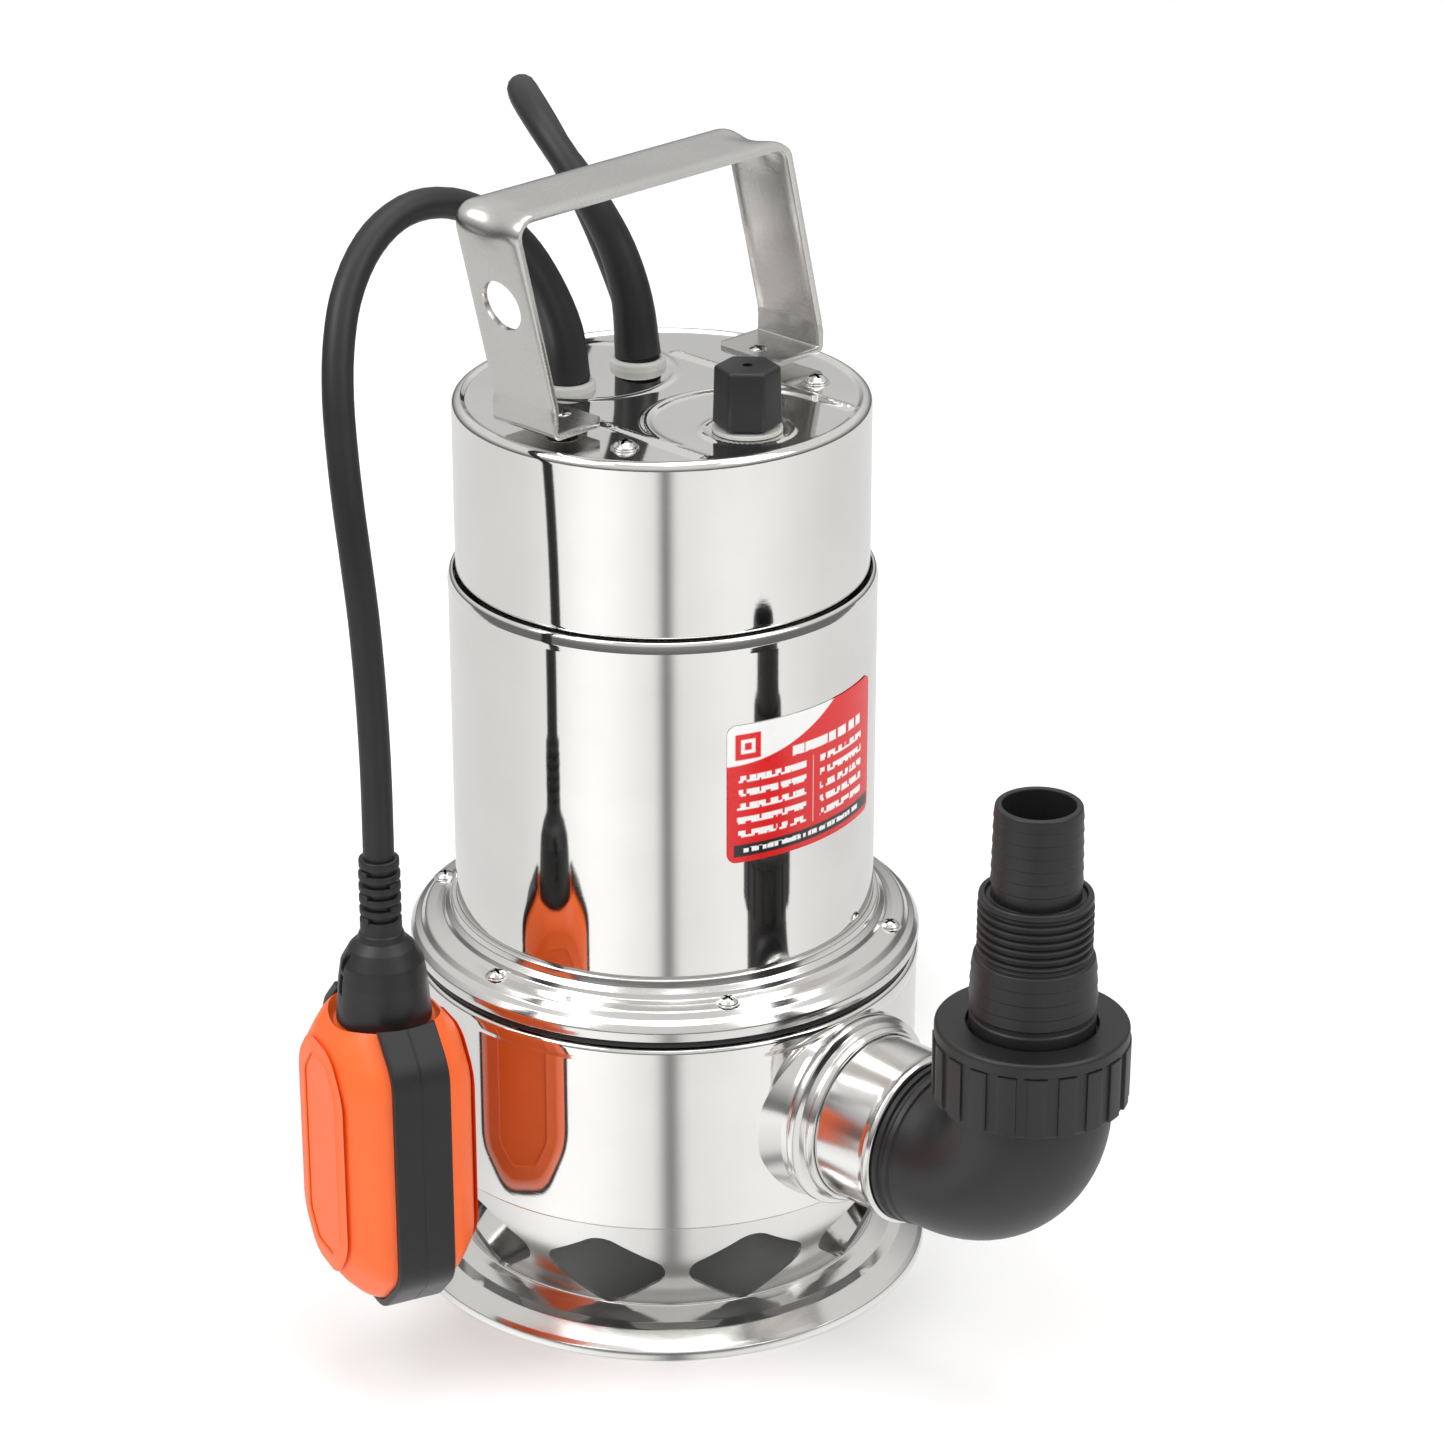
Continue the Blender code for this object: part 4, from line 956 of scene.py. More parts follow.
def strap_press(x, y, z):
    """How far the strip is pressed in: turned-down edges, and a dent across both top corners."""
    edge = max(0.0, abs(x) / (STRAP_WIDTH / 2) - 0.74) / 0.26
    flank = 0.0005 * edge ** 2 if z > HANDLE_CREASE_Z - 0.002 else 0.0
    dent = 0.0
    for corner_y in (-HANDLE_FOOT_Y - HANDLE_LEAN, HANDLE_FOOT_Y - HANDLE_LEAN):
        away = math.hypot(y - corner_y, z - HANDLE_TOP_Z)
        dent = max(dent, bell(away, 0.0135) * bell(x, 0.0105))
    crease = 0.0
    for corner_y in (-HANDLE_FOOT_Y, HANDLE_FOOT_Y):
        away = math.hypot(y - corner_y, z - HANDLE_CREASE_Z - 0.001)
        crease = max(crease, bell(away, 0.008) * bell(x, 0.0075))
    return flank + 0.0016 * dent - 0.0004 * crease


def build_handle():
    chain = strap_line()
    half = STRAP_WIDTH / 2
    handle = draw_line("strap_handle", [(-half, y, z) for y, z in chain])
    draw_out(*[(STRAP_WIDTH / STRAP_COLUMNS, 0.0, 0.0)] * STRAP_COLUMNS)
    leave()
    facing_from(handle, Vector((0.0, -HANDLE_LEAN / 2, COVER_TOP + 0.032)))
    pushes = [v.co - v.normal * strap_press(*v.co) for v in handle.data.vertices]
    for vertex, place in zip(handle.data.vertices, pushes):
        vertex.co = place
    apply(handle, "SOLIDIFY", thickness=sizes().strap, offset=-1.0, use_even_offset=True)
    cut(handle, cylinder("lift_hole", LIFT_HOLE_R, 0.02, (0.0, -0.0624, LIFT_HOLE_Z),
                         Vector((0, 1, 0))))
    for side in (-1, 1):
        for edge in (-1, 1):
            x, y = edge * half, side * HANDLE_TAB_END_Y
            nip = box("nip", (0.004, 0.004, 0.01), (x, y, COVER_TOP))
            cut(handle, move(nip, Matrix.Translation((x, y, 0.0)) @ turn_about("Z", math.pi / 4)
                             @ Matrix.Translation((-x, -y, 0.0))))
    soften(handle, 0.00025, 2, 50)
    fit(handle, "pump", "brushed_strap", ["carry_handle"], 35)


class PUMP_OT_handle(bpy.types.Operator):
    """Bend the strip handle with its pressed corners and its lifting hole"""
    bl_idname = "pump.handle"
    bl_label = "Handle"

    def execute(self, context):
        build_handle()
        return {"FINISHED"}


# Screws
def pan_head(name, radius, height):
    """A pan head with a cross recess on a pressed washer face."""
    profile = rounded([
        (0.0, height), (radius * 0.55, height * 0.97, radius * 0.6),
        (radius * 0.98, height * 0.34, 0.0006),
        (radius * 0.98, 0.0004), (radius * 1.14, 0.0004, 0.0002), (radius * 1.14, 0.0), (0.0, 0.0),
    ], 5, 0.0001)
    head = turned(name, profile, 36)
    cut(head, united([
        box("slot", (radius * 1.25, radius * 0.26, height), (0.0, 0.0, height * 1.02)),
        box("slot", (radius * 0.26, radius * 1.25, height), (0.0, 0.0, height * 1.021))]))
    # Marks the faces of the cross recess, where the zinc finish paints shade into the base colour.
    painted_shade_mark = head.data.attributes.new("recess", "FLOAT", "FACE")
    for face, value in zip(head.data.polygons, painted_shade_mark.data):
        steep = abs(face.normal.z) < 0.3 or face.center.z < height * 0.6
        value.value = float(steep and face.center.xy.length < radius * 0.66)
    return head


def screw_seats():
    """Each screw's place, its turn in degrees and its node."""
    handle_z = COVER_TOP + GAP + sizes().strap - 0.0001
    for n, side in ((1, -1), (2, 1)):
        yield (0.0, side * 0.040, handle_z), 20 + 50 * side, "handle_screw_%d" % n
    for n, side in ((1, -1), (2, 1)):
        yield (0.0244, side * 0.0392, COVER_TOP - 0.0006), 65 * side, "cover_screw_%d" % n
    for i in range(6):
        angle = math.radians(30 + 60 * i)
        place = (FLANGE_SCREW_R * math.cos(angle), FLANGE_SCREW_R * math.sin(angle), 0.1127)
        yield place, 17 * i, "flange_screw_%d" % (i + 1)


class PUMP_OT_screws(bpy.types.Operator):
    """Set the cross-head screws of the handle, the cover and the flange"""
    bl_idname = "pump.screws"
    bl_label = "Screws"

    def execute(self, context):
        heads = {"handle": pan_head("head_handle", 0.0040, 0.0025),
                 "cover": pan_head("head_cover", 0.0036, 0.0023),
                 "flange": pan_head("head_flange", 0.0031, 0.0021)}
        for place, turn, node in screw_seats():
            head = copy_of(heads[node.split("_")[0]], node.replace("screw", "pan_screw"))
            move(head, Matrix.Translation(place) @ turn_about("Z", math.radians(turn)))
            fit(head, "pump", "zinc_screw", [node], 40)
        for head in heads.values():
            bpy.data.objects.remove(head)
        return {"FINISHED"}


# Fittings on the cover
def build_vent_cap():
    """A tall hexagonal cap, slightly drawn in, with eased corners and a breather hole."""
    flats, height = 0.0175, 0.0174
    corner = flats / 2 / math.cos(math.radians(30))
    cap = primitive("cone", "hex_vent_cap", vertices=6, radius1=corner, radius2=corner * 0.955,
                    depth=height)
    move(cap, Matrix.Translation((CAP_X, CAP_Y, COVER_TOP + 0.0013 + height / 2))
         @ turn_about("Z", math.radians(12)))
    soften(cap, 0.0011, 4)
    top = COVER_TOP + 0.0013 + height
    cut(cap, cylinder("breather", 0.0015, 0.012, (CAP_X, CAP_Y, top), sides=24))
    fit(cap, "vent_cap", "black_plastic", ["vent_cap"])


def build_gland_ring(label, side):
    profile = rounded([
        (0.0062, 0.0018, 0.0003), (0.0072, 0.0020, 0.0008), (0.0082, 0.0012, 0.0008),
        (0.0084, -0.0006), (0.0062, -0.0006),
    ], 5, 0.0002, closed=True)
    ring = turned("grommet_" + label, profile, 64, closed=True)
    move(ring, Matrix.Translation((GLAND_X, side * GLAND_Y, COVER_TOP)))
    fit(ring, "pump", "grey_rubber", ["gland_ring_" + label])


class PUMP_OT_cover_fittings(bpy.types.Operator):
    """Add the hexagonal vent cap, its washer and the grommets round the cables"""
    bl_idname = "pump.cover_fittings"
    bl_label = "Vent cap and grommets"

    def execute(self, context):
        build_vent_cap()
        for label, side in (("float", -1), ("power", 1)):
            build_gland_ring(label, side)
        section = rounded([(0.0056, 0.0011), (0.0101, 0.0011, 0.0004), (0.0101, 0.0),
                           (0.0056, 0.0)], 3, 0.0002, closed=True)
        washer = turned("cap_washer", section, 64, closed=True)
        move(washer, Matrix.Translation((CAP_X, CAP_Y, COVER_TOP - 0.0004)))
        fit(washer, "pump", "grey_rubber", ["vent_cap_washer"])
        return {"FINISHED"}


# Pump housing
def build_flange():
    inner = SHELL_R + 0.0001
    profile = rounded([
        (inner, 0.1186), (inner + 0.0014, 0.1186, 0.0006), (0.0652, 0.1163, 0.0008),
        (0.0667, 0.1150, 0.0008), (0.0674, 0.1136, 0.0008), (0.0692, 0.1130, 0.0010),
        (0.0726, 0.1124, 0.0016), (0.0740, 0.1104, 0.0012), (0.0758, 0.1096, 0.0010),
        (0.0773, 0.1078, 0.0014), (0.0774, 0.1064, 0.0008), (0.0770, 0.1046, 0.0006),
        (0.0756, 0.1046, 0.0003), (0.0752, 0.1072, 0.0006), (0.0686, 0.1108, 0.001),
        (inner, 0.1130),
    ], 5, 0.0004, closed=True)
    ring = turned("clamp_flange", profile, closed=True)
    fit(ring, "pump", "polished_steel", ["flange_ring"], look="pressed_steel")


def build_casing():
    profile = rounded([
        (0.0724, CASING_TOP), (0.0760, CASING_TOP + 0.0002, 0.0008),
        (CASING_R + 0.0005, CASING_TOP + 0.0001, 0.0016),
        (CASING_R + 0.0002, CASING_TOP - 0.0036, 0.0012),
        (CASING_R - 0.0002, CASING_TOP - 0.0050, 0.0012),
        (CASING_R - 0.0002, CASING_BOTTOM + 0.0004, 0.0003),
        (CASING_R - 0.0010, CASING_BOTTOM), (0.0722, CASING_BOTTOM),
        (0.0722, CASING_BOTTOM + SHEET), (CASING_R - SHEET, CASING_BOTTOM + SHEET, 0.001),
        (CASING_R - SHEET, CASING_TOP - SHEET, 0.001), (0.0724, CASING_TOP - SHEET),
    ], 5, closed=True)
    casing = turned("pump_casing_drum", profile, closed=True)
    cut(casing, cylinder("outlet_hole", OUTLET_R - 0.0001, 0.03, (CASING_R, 0.0, OUTLET_Z),
                         Vector((1, 0, 0))))
    fit(casing, "pump", "polished_steel", ["pump_casing"])
    seal = turned("casing_gasket", rounded([
        (0.0722, 0.1044, 0.0003), (0.0764, 0.1044, 0.0008), (0.0764, 0.1024, 0.0008),
        (0.0722, 0.1024, 0.0003)], 3, 0.0003, closed=True), MEDIUM, closed=True)
    fit(seal, "pump", "black_rubber", ["casing_seal"])


class PUMP_OT_casing(bpy.types.Operator):
    """Turn the clamp flange, its gasket and the pump casing"""
    bl_idname = "pump.casing"
    bl_label = "Flange and casing"

    def execute(self, context):
        build_flange()
        build_casing()
        return {"FINISHED"}


def build_outlet():
    """A stub tube, a rolled bead round its foot and a flared neck that follows the drum."""
    along = Matrix.Translation((0.0, 0.0, OUTLET_Z)) @ turn_about("Y", math.pi / 2)
    end = OUTLET_END
    stub = turned("outlet_tube", rounded([
        (OUTLET_BORE, end, 0.0004), (OUTLET_R + 0.0003, end + 0.0002, 0.0007),
        (OUTLET_R + 0.0009, end - 0.0012, 0.0008), (OUTLET_R + 0.0002, end - 0.0028, 0.0008),
        (OUTLET_R, end - 0.0040), (OUTLET_R, 0.0722), (OUTLET_BORE, 0.0722),
    ], 5, closed=True), FINE, closed=True)
    fit(move(stub, along), "pump", "polished_steel", ["outlet_stub"], look="pressed_steel")
    neck = turned("outlet_neck", rounded([
        (OUTLET_R + 0.0002, 0.0862), (OUTLET_R + 0.0010, 0.0864, 0.0004),
        (OUTLET_R + 0.0018, 0.0848, 0.0008), (OUTLET_R + 0.0014, 0.0836, 0.0006),
        (OUTLET_R + 0.0024, 0.0822, 0.0008), (OUTLET_R + 0.0042, 0.0812, 0.0012),
        (OUTLET_R + 0.0044, 0.0792, 0.0010),
        (OUTLET_R + 0.0030, 0.0780, 0.0008), (OUTLET_R + 0.0036, 0.0762, 0.0016),
        (OUTLET_R + 0.0068, 0.0700, 0.004), (OUTLET_R + 0.0090, 0.0640),
        (OUTLET_R + 0.0002, 0.0640),
    ], 5, 0.0003, closed=True), FINE, closed=True)
    move(neck, along)
    cut(neck, cylinder("drum", CASING_R - 0.0012, 0.2, (0.0, 0.0, OUTLET_Z), sides=ROUND))
    fit(neck, "pump", "polished_steel", ["outlet_collar"], look="pressed_steel")


class PUMP_OT_outlet(bpy.types.Operator):
    """Add the outlet's stub tube and its neck with the rolled bead"""
    bl_idname = "pump.outlet"
    bl_label = "Outlet stub"

    def execute(self, context):
        build_outlet()
        return {"FINISHED"}


WINDOW_WIDTH, WINDOW_HEIGHT, WINDOW_Z = 0.0440, 0.0325, 0.0228
WINDOW_TURN, WINDOW_LEAN, WINDOW_COUNT = math.radians(11.5), math.radians(21), 10


def window_cutter():
    """A diamond with rounded corners, drawn out through the wall and copied round it."""
    wide, tall = WINDOW_WIDTH / 2, WINDOW_HEIGHT / 2
    outline = rounded([(wide, 0.0, 0.0058), (0.0, tall, 0.0072), (-wide, 0.0, 0.0058),
                       (0.0, -tall, 0.0072)], 6, 0.1, closed=True)
    window = draw_line("window", [(-0.009, y, z) for y, z in outline], closed=True)
    bpy.ops.mesh.edge_face_add()
    draw_out((0.018, 0.0, 0.0))
    leave()
    facing_out(window)
    lean = turn_about("Y", WINDOW_LEAN)
    windows = []
    for i in range(WINDOW_COUNT):
        around = turn_about("Z", WINDOW_TURN + math.tau * i / WINDOW_COUNT)
        place = around @ Matrix.Translation((0.0704, 0.0, WINDOW_Z)) @ lean
        windows.append(move(copy_of(window, "window_cutter"), place))
    bpy.data.objects.remove(window)
    return united(windows)


def build_strainer():
    top = CASING_BOTTOM - 0.0002
    high, low = Vector((CASING_R - 0.0008, top - 0.0002)), Vector((0.0645, 0.0102))
    span = [high.lerp(low, k / 14) for k in range(1, 14)]
    outer = [(0.0700, top), (CASING_R - 0.0010, top, 0.0003), *[tuple(p) for p in span]]
    foot = [(0.0643, 0.0094, 0.0008), (0.0669, 0.0084, 0.0010), (0.0702, 0.0069, 0.0012),
            (0.0737, 0.0065, 0.0014), (0.0790, 0.0036, 0.0012), (0.0804, 0.0026, 0.0008),
            (FOOT_R, 0.0016, 0.0006), (0.0806, 0.0001, 0.0006), (0.0790, 0.0001, 0.0004),
            (0.0784, 0.0020, 0.001), (0.0731, 0.0049, 0.001), (0.0698, 0.0053, 0.001),
            (0.0664, 0.0068, 0.001), (0.0629, 0.0088, 0.0008)]
    inner = [tuple(p - Vector((SHEET, 0.0))) for p in reversed(span)]
    profile = rounded([*outer, *foot, *inner, (0.0700, top - SHEET)], 5, 0.0004, closed=True)
    strainer = turned("strainer_skirt", profile, closed=True)
    cut(strainer, window_cutter())
    fit(strainer, "pump", "polished_steel", ["strainer_base"], 32, "pressed_steel")


class PUMP_OT_strainer(bpy.types.Operator):
    """Turn the strainer's foot and cut its diamond windows"""
    bl_idname = "pump.strainer"
    bl_label = "Strainer"

    def execute(self, context):
        build_strainer()
        return {"FINISHED"}


# Outlet fittings
def build_elbow():
    """A hollow pipe drawn from the stub, round the bend and up to the union, and its thread."""
    start = OUTLET_END - 0.0120
    pivot = Vector((COLUMN_X - ELBOW_BEND, 0.0, OUTLET_Z + ELBOW_BEND))
    elbow = primitive("circle", "elbow_pipe", vertices=MEDIUM, radius=ELBOW_R, fill_type="NOTHING")
    move(elbow, Matrix.Translation((start, 0.0, OUTLET_Z)) @ turn_about("Y", math.pi / 2))
    edit(elbow)
    select_all()

    def draw_on(x, z):
        bpy.ops.mesh.extrude_edges_move(TRANSFORM_OT_translate={"value": (x, 0.0, z)})

    for step in (0.0110, 0.0006, COLUMN_X - ELBOW_BEND - start - 0.0116 - 0.0006, 0.0006):
        draw_on(step, 0.0)
    for _ in range(ELBOW_SLICES):
        draw_on(0.0, 0.0)
        bpy.ops.transform.rotate(value=math.pi / 2 / ELBOW_SLICES, orient_axis="Y",
                                 center_override=pivot)
    for step in (0.0006, ELBOW_TOP - OUTLET_Z - ELBOW_BEND - 0.0012, 0.0006):
        draw_on(0.0, step)
    outward()
    leave()
    facing_from(elbow, Vector((COLUMN_X, 0.0, pivot.z)), lambda face: face.center.z > pivot.z)
    apply(elbow, "SOLIDIFY", thickness=ELBOW_R - ELBOW_BORE, offset=-1.0, use_even_offset=True)
    soften(elbow, 0.0004, 3, 50)
    fit(elbow, "outlet_elbow", "black_plastic", ["elbow"])
    thread = []
    for k in range(4):
        low = start + 0.0030 + 0.0024 * k
        thread += [(ELBOW_R, low, 0.0), (ELBOW_R + 0.0006, low + 0.0006, 0.0003),
                   (ELBOW_R + 0.0006, low + 0.0012, 0.0003), (ELBOW_R, low + 0.0018, 0.0)]
    collar = [(ELBOW_R - 0.001, start + 0.0020), *thread,
              (ELBOW_R, 0.1076), (ELBOW_R + 0.0012, 0.1078, 0.0005),
              (ELBOW_R + 0.0012, 0.1096, 0.0005), (ELBOW_R + 0.0002, 0.1100, 0.0003),
              (ELBOW_R + 0.0002, 0.1112, 0.0003), (ELBOW_R + 0.0008, 0.1116, 0.0004),
              (ELBOW_R + 0.0006, 0.1132, 0.0005), (ELBOW_R - 0.001, 0.1150)]
    flipped = [(c[0], -c[1], *c[2:]) for c in collar]
    along = Matrix.Translation((0.0, 0.0, OUTLET_Z)) @ turn_about("Y", -math.pi / 2)
    rings = turned("elbow_thread", rounded(flipped, 3, 0.0002, closed=True), MEDIUM, closed=True)
    fit(move(rings, along), "outlet_elbow", "black_plastic")


NUT_R, NUT_BOTTOM, NUT_TOP = 0.0273, 0.1016, 0.1250
NUT_RIBS, SIDES_PER_RIB = 20, 8


def build_union_nut():
    """A ring whose skirt carries wide grip ribs under a plain shoulder."""
    shoulder = NUT_TOP - 0.0040
    profile = rounded([
        (0.0188, NUT_TOP, 0.0003), (NUT_R + 0.0004, NUT_TOP, 0.0012),
        (NUT_R + 0.0004, shoulder, 0.0003), (NUT_R, shoulder - 0.0004),
        (NUT_R - 0.0001, NUT_BOTTOM + 0.0008), (NUT_R - 0.0010, NUT_BOTTOM, 0.0005),
        (ELBOW_R + 0.0004, NUT_BOTTOM), (ELBOW_R + 0.0004, 0.1229), (0.0188, 0.1229),
    ], 4, 0.0003, closed=True)
    nut = turned("ribbed_union_nut", profile, NUT_RIBS * SIDES_PER_RIB, closed=True)

    def on_rib(face):
        x, y, z = face.center
        around = (math.atan2(y, x) % math.tau) / math.tau * NUT_RIBS
        wall = abs(face.normal.z) < 0.3 and face.normal.x * x + face.normal.y * y > 0
        raised = 0.5 / SIDES_PER_RIB < around % 1.0 < 5.6 / SIDES_PER_RIB
        return wall and raised and z < shoulder - 0.0003

    pick(nut, on_rib)
    bpy.ops.mesh.extrude_region_move()
    scale = 1.0 + sizes().rib / NUT_R
    bpy.ops.transform.resize(value=(scale, scale, 1.0), center_override=(0.0, 0.0, 0.0))
    leave()
    soften(nut, 0.00022, 2, 40)
    move(nut, Matrix.Translation((COLUMN_X, 0.0, 0.0)))
    fit(nut, "union_nut", "black_plastic", ["union_nut"], 35)


def build_adapter():
    """A stepped hose adapter: wide barb, thread and narrow barb over one open bore."""
    seat, bore, top = ELBOW_TOP + 0.0016, 0.0097, 0.1920
    corners = [(bore + 0.0006, top, 0.0005), (0.0122, top, 0.0008)]
    for k in range(6):
        high, wide = top - 0.0034 - 0.0039 * k, 0.01255 + 0.00008 * k
        corners += [(wide + 0.0001, high, 0.0002), (wide - 0.0002, high - 0.0003, 0.0)]
    corners += [(0.0127, 0.1641, 0.0004), (0.0142, 0.1641, 0.0003), (0.0144, 0.1652, 0.0003),
                (0.0160, 0.1652, 0.0006), (0.0163, 0.1636, 0.0003)]
    depth = sizes().thread
    for k in range(6):
        low = 0.1630 - 0.0025 * k
        corners += [(0.0163 - depth, low - 0.0003, 0.0003), (0.0163 - depth, low - 0.0011, 0.0003),
                    (0.0164, low - 0.0015, 0.0003), (0.0164, low - 0.0022, 0.0003)]
    corners += [(0.0156, 0.1474, 0.0004), (0.0158, 0.1466, 0.0004), (0.0172, 0.1461, 0.0006)]
    for k in range(3):
        high, wide = 0.1424 - 0.0042 * k, 0.0177 + 0.00022 * k
        corners += [(wide + 0.0001, high, 0.0002), (wide - 0.0002, high - 0.0003, 0.0)]
    corners += [(0.0182, 0.1303, 0.0003), (0.0175, 0.1298, 0.0003), (0.0175, 0.1284, 0.0003),
                (0.0180, 0.1280, 0.0003), (0.0180, seat + 0.0040), (0.0222, seat + 0.0040),
                (0.0222, seat), (0.0150, seat), (bore, 0.1440, 0.004)]
    profile = rounded(corners, 3, 0.00015, closed=True)
    adapter = turned("stepped_hose_adapter", profile, MEDIUM, closed=True)
    move(adapter, Matrix.Translation((COLUMN_X, 0.0, 0.0)))
    fit(adapter, "outlet_elbow", "black_plastic", ["hose_adapter"])


class PUMP_OT_outlet_fittings(bpy.types.Operator):
    """Add the elbow, its union nut and the stepped hose adapter"""
    bl_idname = "pump.outlet_fittings"
    bl_label = "Elbow, union nut and adapter"

    def execute(self, context):
        build_elbow()
        build_union_nut()
        build_adapter()
        return {"FINISHED"}


# Float switch
FLOAT_WIDTH, FLOAT_THICKNESS = 0.057, 0.041
FLOAT_TOP, FLOAT_BOTTOM, FLOAT_CORNER = -0.0175, -0.1145, 0.015
FLOAT_MIDDLE = (FLOAT_TOP + FLOAT_BOTTOM) / 2
BAND_WIDTH, COLLAR_FOOT = 0.0172, -0.0262


def float_frame():
    return Matrix.Translation(FLOAT_PIVOT) @ turn_about("Z", FLOAT_TURN)


def float_outline(inset, y, dip=0.0):
    """An octagon with eased corners in the float's XZ plane, inset from its outer size."""
    half, trim = FLOAT_WIDTH / 2 - inset, FLOAT_CORNER - inset * 0.586
    high, low, ease = FLOAT_TOP - inset - dip, FLOAT_BOTTOM + inset, 0.0125
    corners = [(half, low + trim, ease), (half, high - trim, ease), (half - trim, high, ease),
               (trim - half, high, ease), (-half, high - trim, ease), (-half, low + trim, ease),
               (trim - half, low, ease), (half - trim, low, ease)]
    return [(x, y, z) for x, z in rounded(corners, 4, 0.1, closed=True)]


COLLAR_SECTION = [              # a short cone, a shoulder and a slightly flaring skirt
    (0.0, 0.0012), (0.0062, 0.0012, 0.0008), (0.0070, -0.0010, 0.0008),
    (0.0094, -0.0034, 0.0010), (0.0119, -0.0078, 0.0014), (0.0127, -0.0130, 0.004),
    (0.0138, COLLAR_FOOT, 0.0006), (0.0, COLLAR_FOOT),
]


def collar_seat(margin):
    """What the collar needs cleared round it: its own shape and a scoop that opens upwards."""
    foot = COLLAR_FOOT - margin
    return turned("seat", rounded([
        (0.0, 0.004), (0.030, 0.004), (0.030, FLOAT_TOP + 0.0005),
        (0.0168 + margin, COLLAR_FOOT + 0.0035, 0.004), (0.0142 + margin, foot, 0.0008),
        (0.0, foot)], 4, 0.1), SMALL)


def build_float_shell(name, side, node):
    """Half of the float: an edge, a sloping shoulder, a front with a sunk panel, a scooped seat."""
    depth = FLOAT_THICKNESS / 2
    shell = draw_line(name, float_outline(0.0019, side * 0.0001, 0.0012), closed=True)
    bpy.ops.mesh.edge_face_add()
    draw_out((0.0, side * 0.0102, 0.0), (0.0, side * (depth - 0.0103), 0.0))
    bpy.ops.transform.resize(value=(0.64, 1.0, 0.78), center_override=(0.0, 0.0, FLOAT_MIDDLE))
    leave()
    facing_out(shell)
    soften(shell, 0.0052, 7, 22)
    pick(shell, lambda f: abs(f.center.y) > depth - 0.0002)
    for thickness, rise in ((0.0016, 0.0), (0.0005, -0.0004), (0.0005, 0.0002)):
        bpy.ops.mesh.inset(thickness=thickness, depth=rise)
    leave()
    cut(shell, collar_seat(0.0006))
    move(shell, float_frame())
    fit(shell, "float", "orange_plastic", [node], 40)


def build_float_band():
    """The black band round the float's edge, with a fine seam along its middle."""
    edge = BAND_WIDTH / 2
    band = draw_line("edge_band", float_outline(0.0, -edge), closed=True)
    steps = (0.0012, edge - 0.0012 - 0.0004, 0.0004)
    draw_out(*[(0.0, step, 0.0) for step in (*steps, *reversed(steps))])
    leave()
    facing_from(band, Vector((0.0, 0.0, FLOAT_MIDDLE)))
    pick(band, lambda v: abs(v.co.y) < 0.0001, "VERT")
    bpy.ops.transform.shrink_fatten(value=-0.0004)
    leave()
    apply(band, "SOLIDIFY", thickness=0.0024, offset=-1.0, use_even_offset=True)
    soften(band, 0.0005, 3, 50)
    cut(band, collar_seat(0.0003))
    move(band, float_frame())
    fit(band, "float", "black_rubber", ["float_band"], 35)


def build_float_collar():
    """The cable's collar on the float, with two pairs of narrow upright slots in its skirt."""
    collar = turned("float_collar_boot", rounded(COLLAR_SECTION, 5), 64)
    for turn in (-2, 178):
        for high, low in ((-0.0042, -0.0094), (-0.0108, -0.0168)):
            slot = box("slot", (0.0022, 0.0050, high - low))
            reach = 0.0125 if high > -0.01 else 0.0140
            move(slot, turn_about("Z", math.radians(turn))
                 @ Matrix.Translation((0.0, -reach, (high + low) / 2)))
            cut(collar, slot)
    soften(collar, 0.00025, 2, 40)
    move(collar, float_frame())
    fit(collar, "float", "black_plastic", ["float_collar"], 35)


def build_float_boot():
    """The ribbed and slotted boot round the cable where it enters the float."""
    radius, foot, head = 0.0056, 0.0004, 0.0240
    corners = [(0.0, head), (radius + 0.0002, head, 0.0006),
               (radius + 0.0002, head - 0.0026, 0.0004)]
    count, pitch = 5, 0.0036
    for k in range(count):
        low = head - 0.0030 - pitch * k
        corners += [(radius - 0.0009, low, 0.0), (radius - 0.0009, low - 0.0011, 0.0),
                    (radius + 0.0004, low - 0.0013, 0.0003),
                    (radius + 0.0004, low - 0.0032, 0.0003)]
    corners[-1:] = [(radius + 0.0004, foot), (0.0, foot)]
    boot = turned("float_boot", rounded(corners, 3, 0.0006), 56)
    for k in range(count):
        for side in (0, 1):
            angle = math.radians(20 + 90 * (k % 2) + 180 * side)
            web = box("web", (0.0026, 0.0030, 0.0016),
                      (0.0, radius - 0.0011, head - 0.0030 - pitch * k - 0.0006))
            cut(boot, move(web, turn_about("Z", angle)), "UNION")
    move(boot, float_frame())
    fit(boot, "", "black_rubber", ["float_strain_relief"], 40)
    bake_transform(boot)


class PUMP_OT_float_switch(bpy.types.Operator):
    """Add the float's two shells, its band, its collar and the cable's boot"""
    bl_idname = "pump.float_switch"
    bl_label = "Float switch"

    def execute(self, context):
        build_float_shell("float_half_outer", -1, "float_shell_outer")
        build_float_shell("float_half_inner", 1, "float_shell_inner")
        build_float_band()
        build_float_collar()
        build_float_boot()
        return {"FINISHED"}


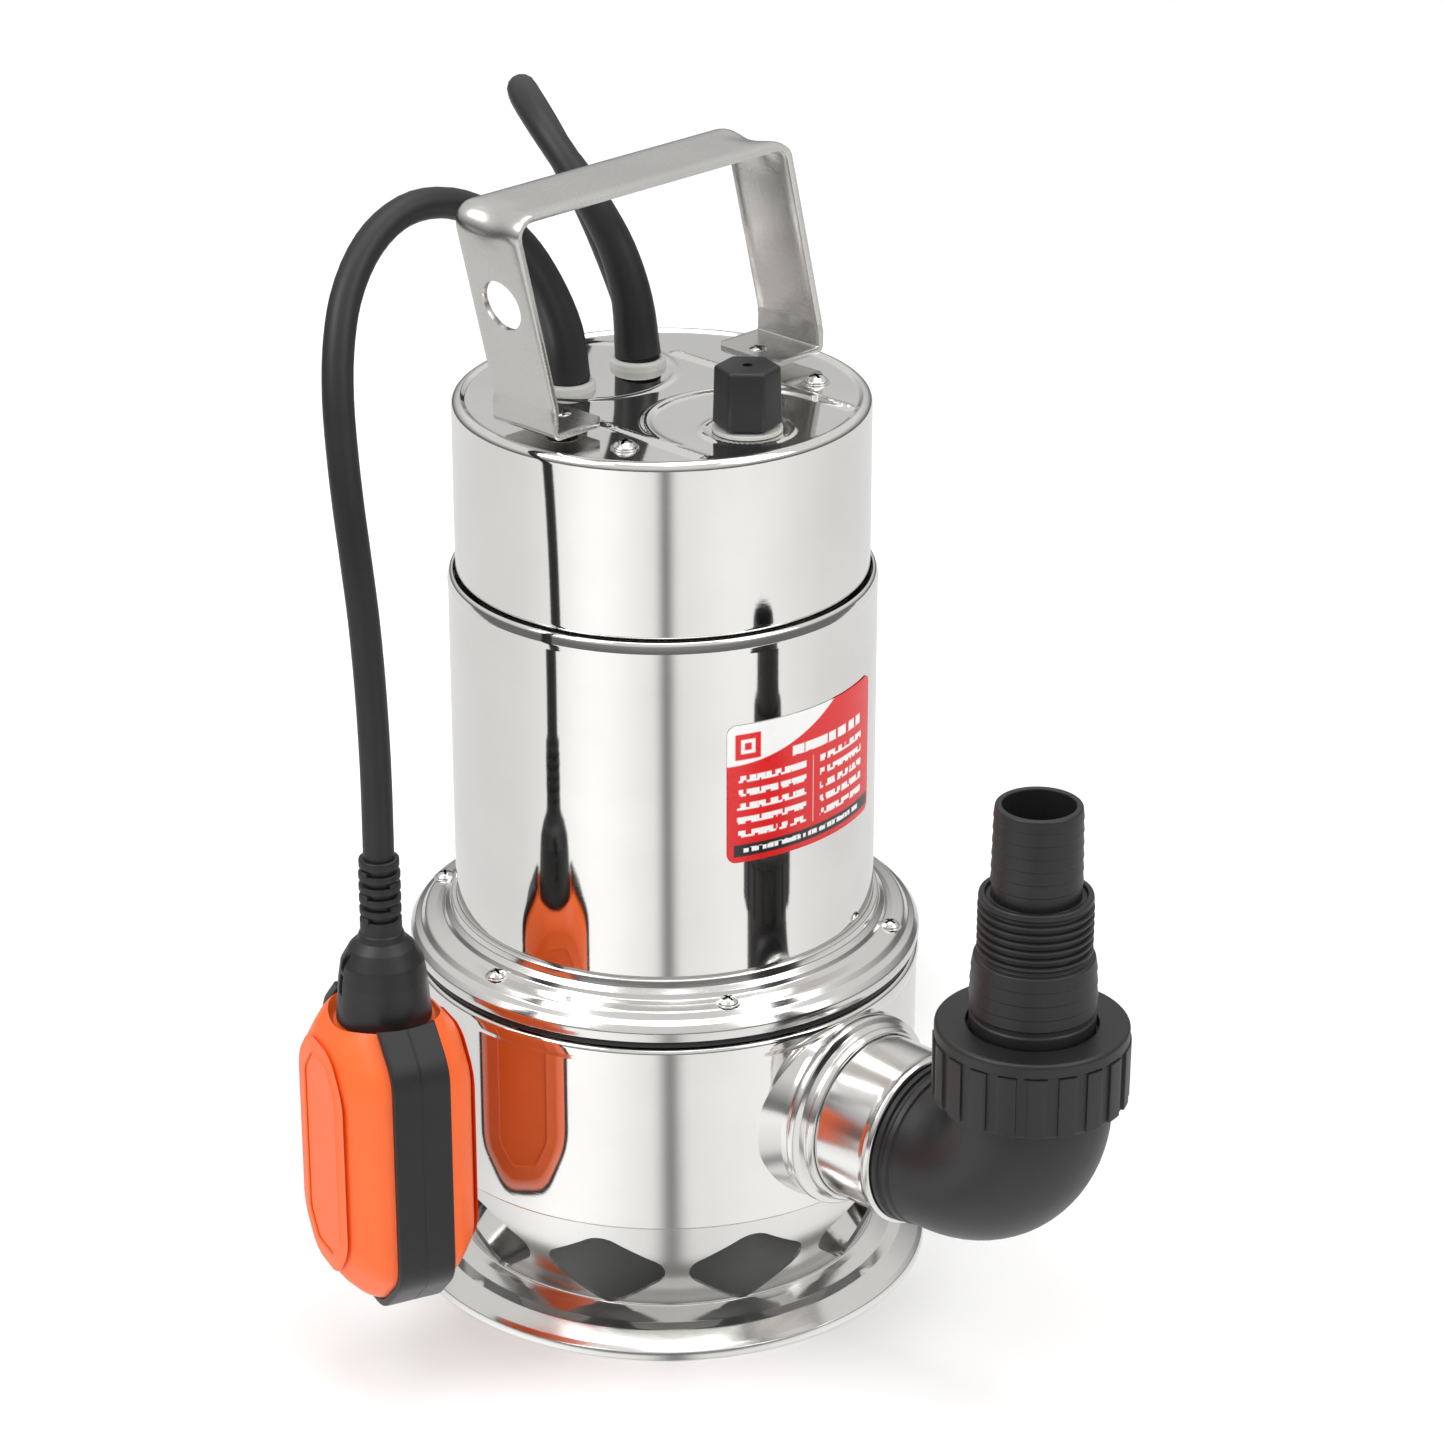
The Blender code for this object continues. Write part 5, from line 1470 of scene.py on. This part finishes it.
# Pieces inside
INSIDE = {
    "black_rubber": ("cover_seal", "elbow_gasket", "shaft_seal"),
    "polished_steel": ("base_plate",),
    "cast_alloy": ("suction_plate", "bearing_bracket", "seal_housing"),
    "motor_iron": ("stator_core", "rotor_core"),
    "copper_wire": ("winding_upper", "winding_lower"),
    "shaft_steel": ("bearing_upper", "bearing_lower", "shaft", "float_ball"),
    "ivory_plastic": ("capacitor", "float_ball_tube"),
    "black_plastic": ("impeller", "float_microswitch"),
    "zinc_screw": ("impeller_nut",),
}


class PUMP_OT_inner_pieces(bpy.types.Operator):
    """Give the motor, the bearings, the impeller and the float's switch their finishes"""
    bl_idname = "pump.inner_pieces"
    bl_label = "Motor, impeller and switch"

    def execute(self, context):
        for slot, names in INSIDE.items():
            for name in names:
                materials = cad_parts[name].data.materials
                materials.clear()
                materials.append(finish(slot))
        return {"FINISHED"}


# Panel and registration
PIECES = [
    PUMP_OT_stage, PUMP_OT_cords, PUMP_OT_motor_housing, PUMP_OT_rating_plate, PUMP_OT_handle,
    PUMP_OT_screws, PUMP_OT_cover_fittings, PUMP_OT_casing, PUMP_OT_outlet, PUMP_OT_strainer,
    PUMP_OT_outlet_fittings, PUMP_OT_float_switch, PUMP_OT_inner_pieces,
]


class PUMP_PT_sidebar(bpy.types.Panel):
    """Lists the sizes, the colours and each group of pieces"""
    bl_idname = "PUMP_PT_sidebar"
    bl_label = "Sump pump"
    bl_space_type = "VIEW_3D"
    bl_region_type = "UI"
    bl_category = "Sump Pump"

    def draw(self, context):
        for group in (context.scene.pump_sizes, context.scene.pump_colours):
            column = self.layout.column(align=True)
            for name in group.__annotations__:
                column.prop(group, name)
        column = self.layout.column(align=True)
        for piece in PIECES:
            column.operator(piece.bl_idname)


CLASSES = [PumpSizes, PumpColours, *PIECES, PUMP_PT_sidebar]


def register():
    for made in CLASSES:
        bpy.utils.register_class(made)
    bpy.types.Scene.pump_sizes = bpy.props.PointerProperty(type=PumpSizes)
    bpy.types.Scene.pump_colours = bpy.props.PointerProperty(type=PumpColours)


def unregister():
    del bpy.types.Scene.pump_colours
    del bpy.types.Scene.pump_sizes
    for made in reversed(CLASSES):
        bpy.utils.unregister_class(made)


def main():
    register()
    for piece in PIECES:
        group, name = piece.bl_idname.split(".")
        getattr(getattr(bpy.ops, group), name)()


if __name__ == "__main__":
    main()
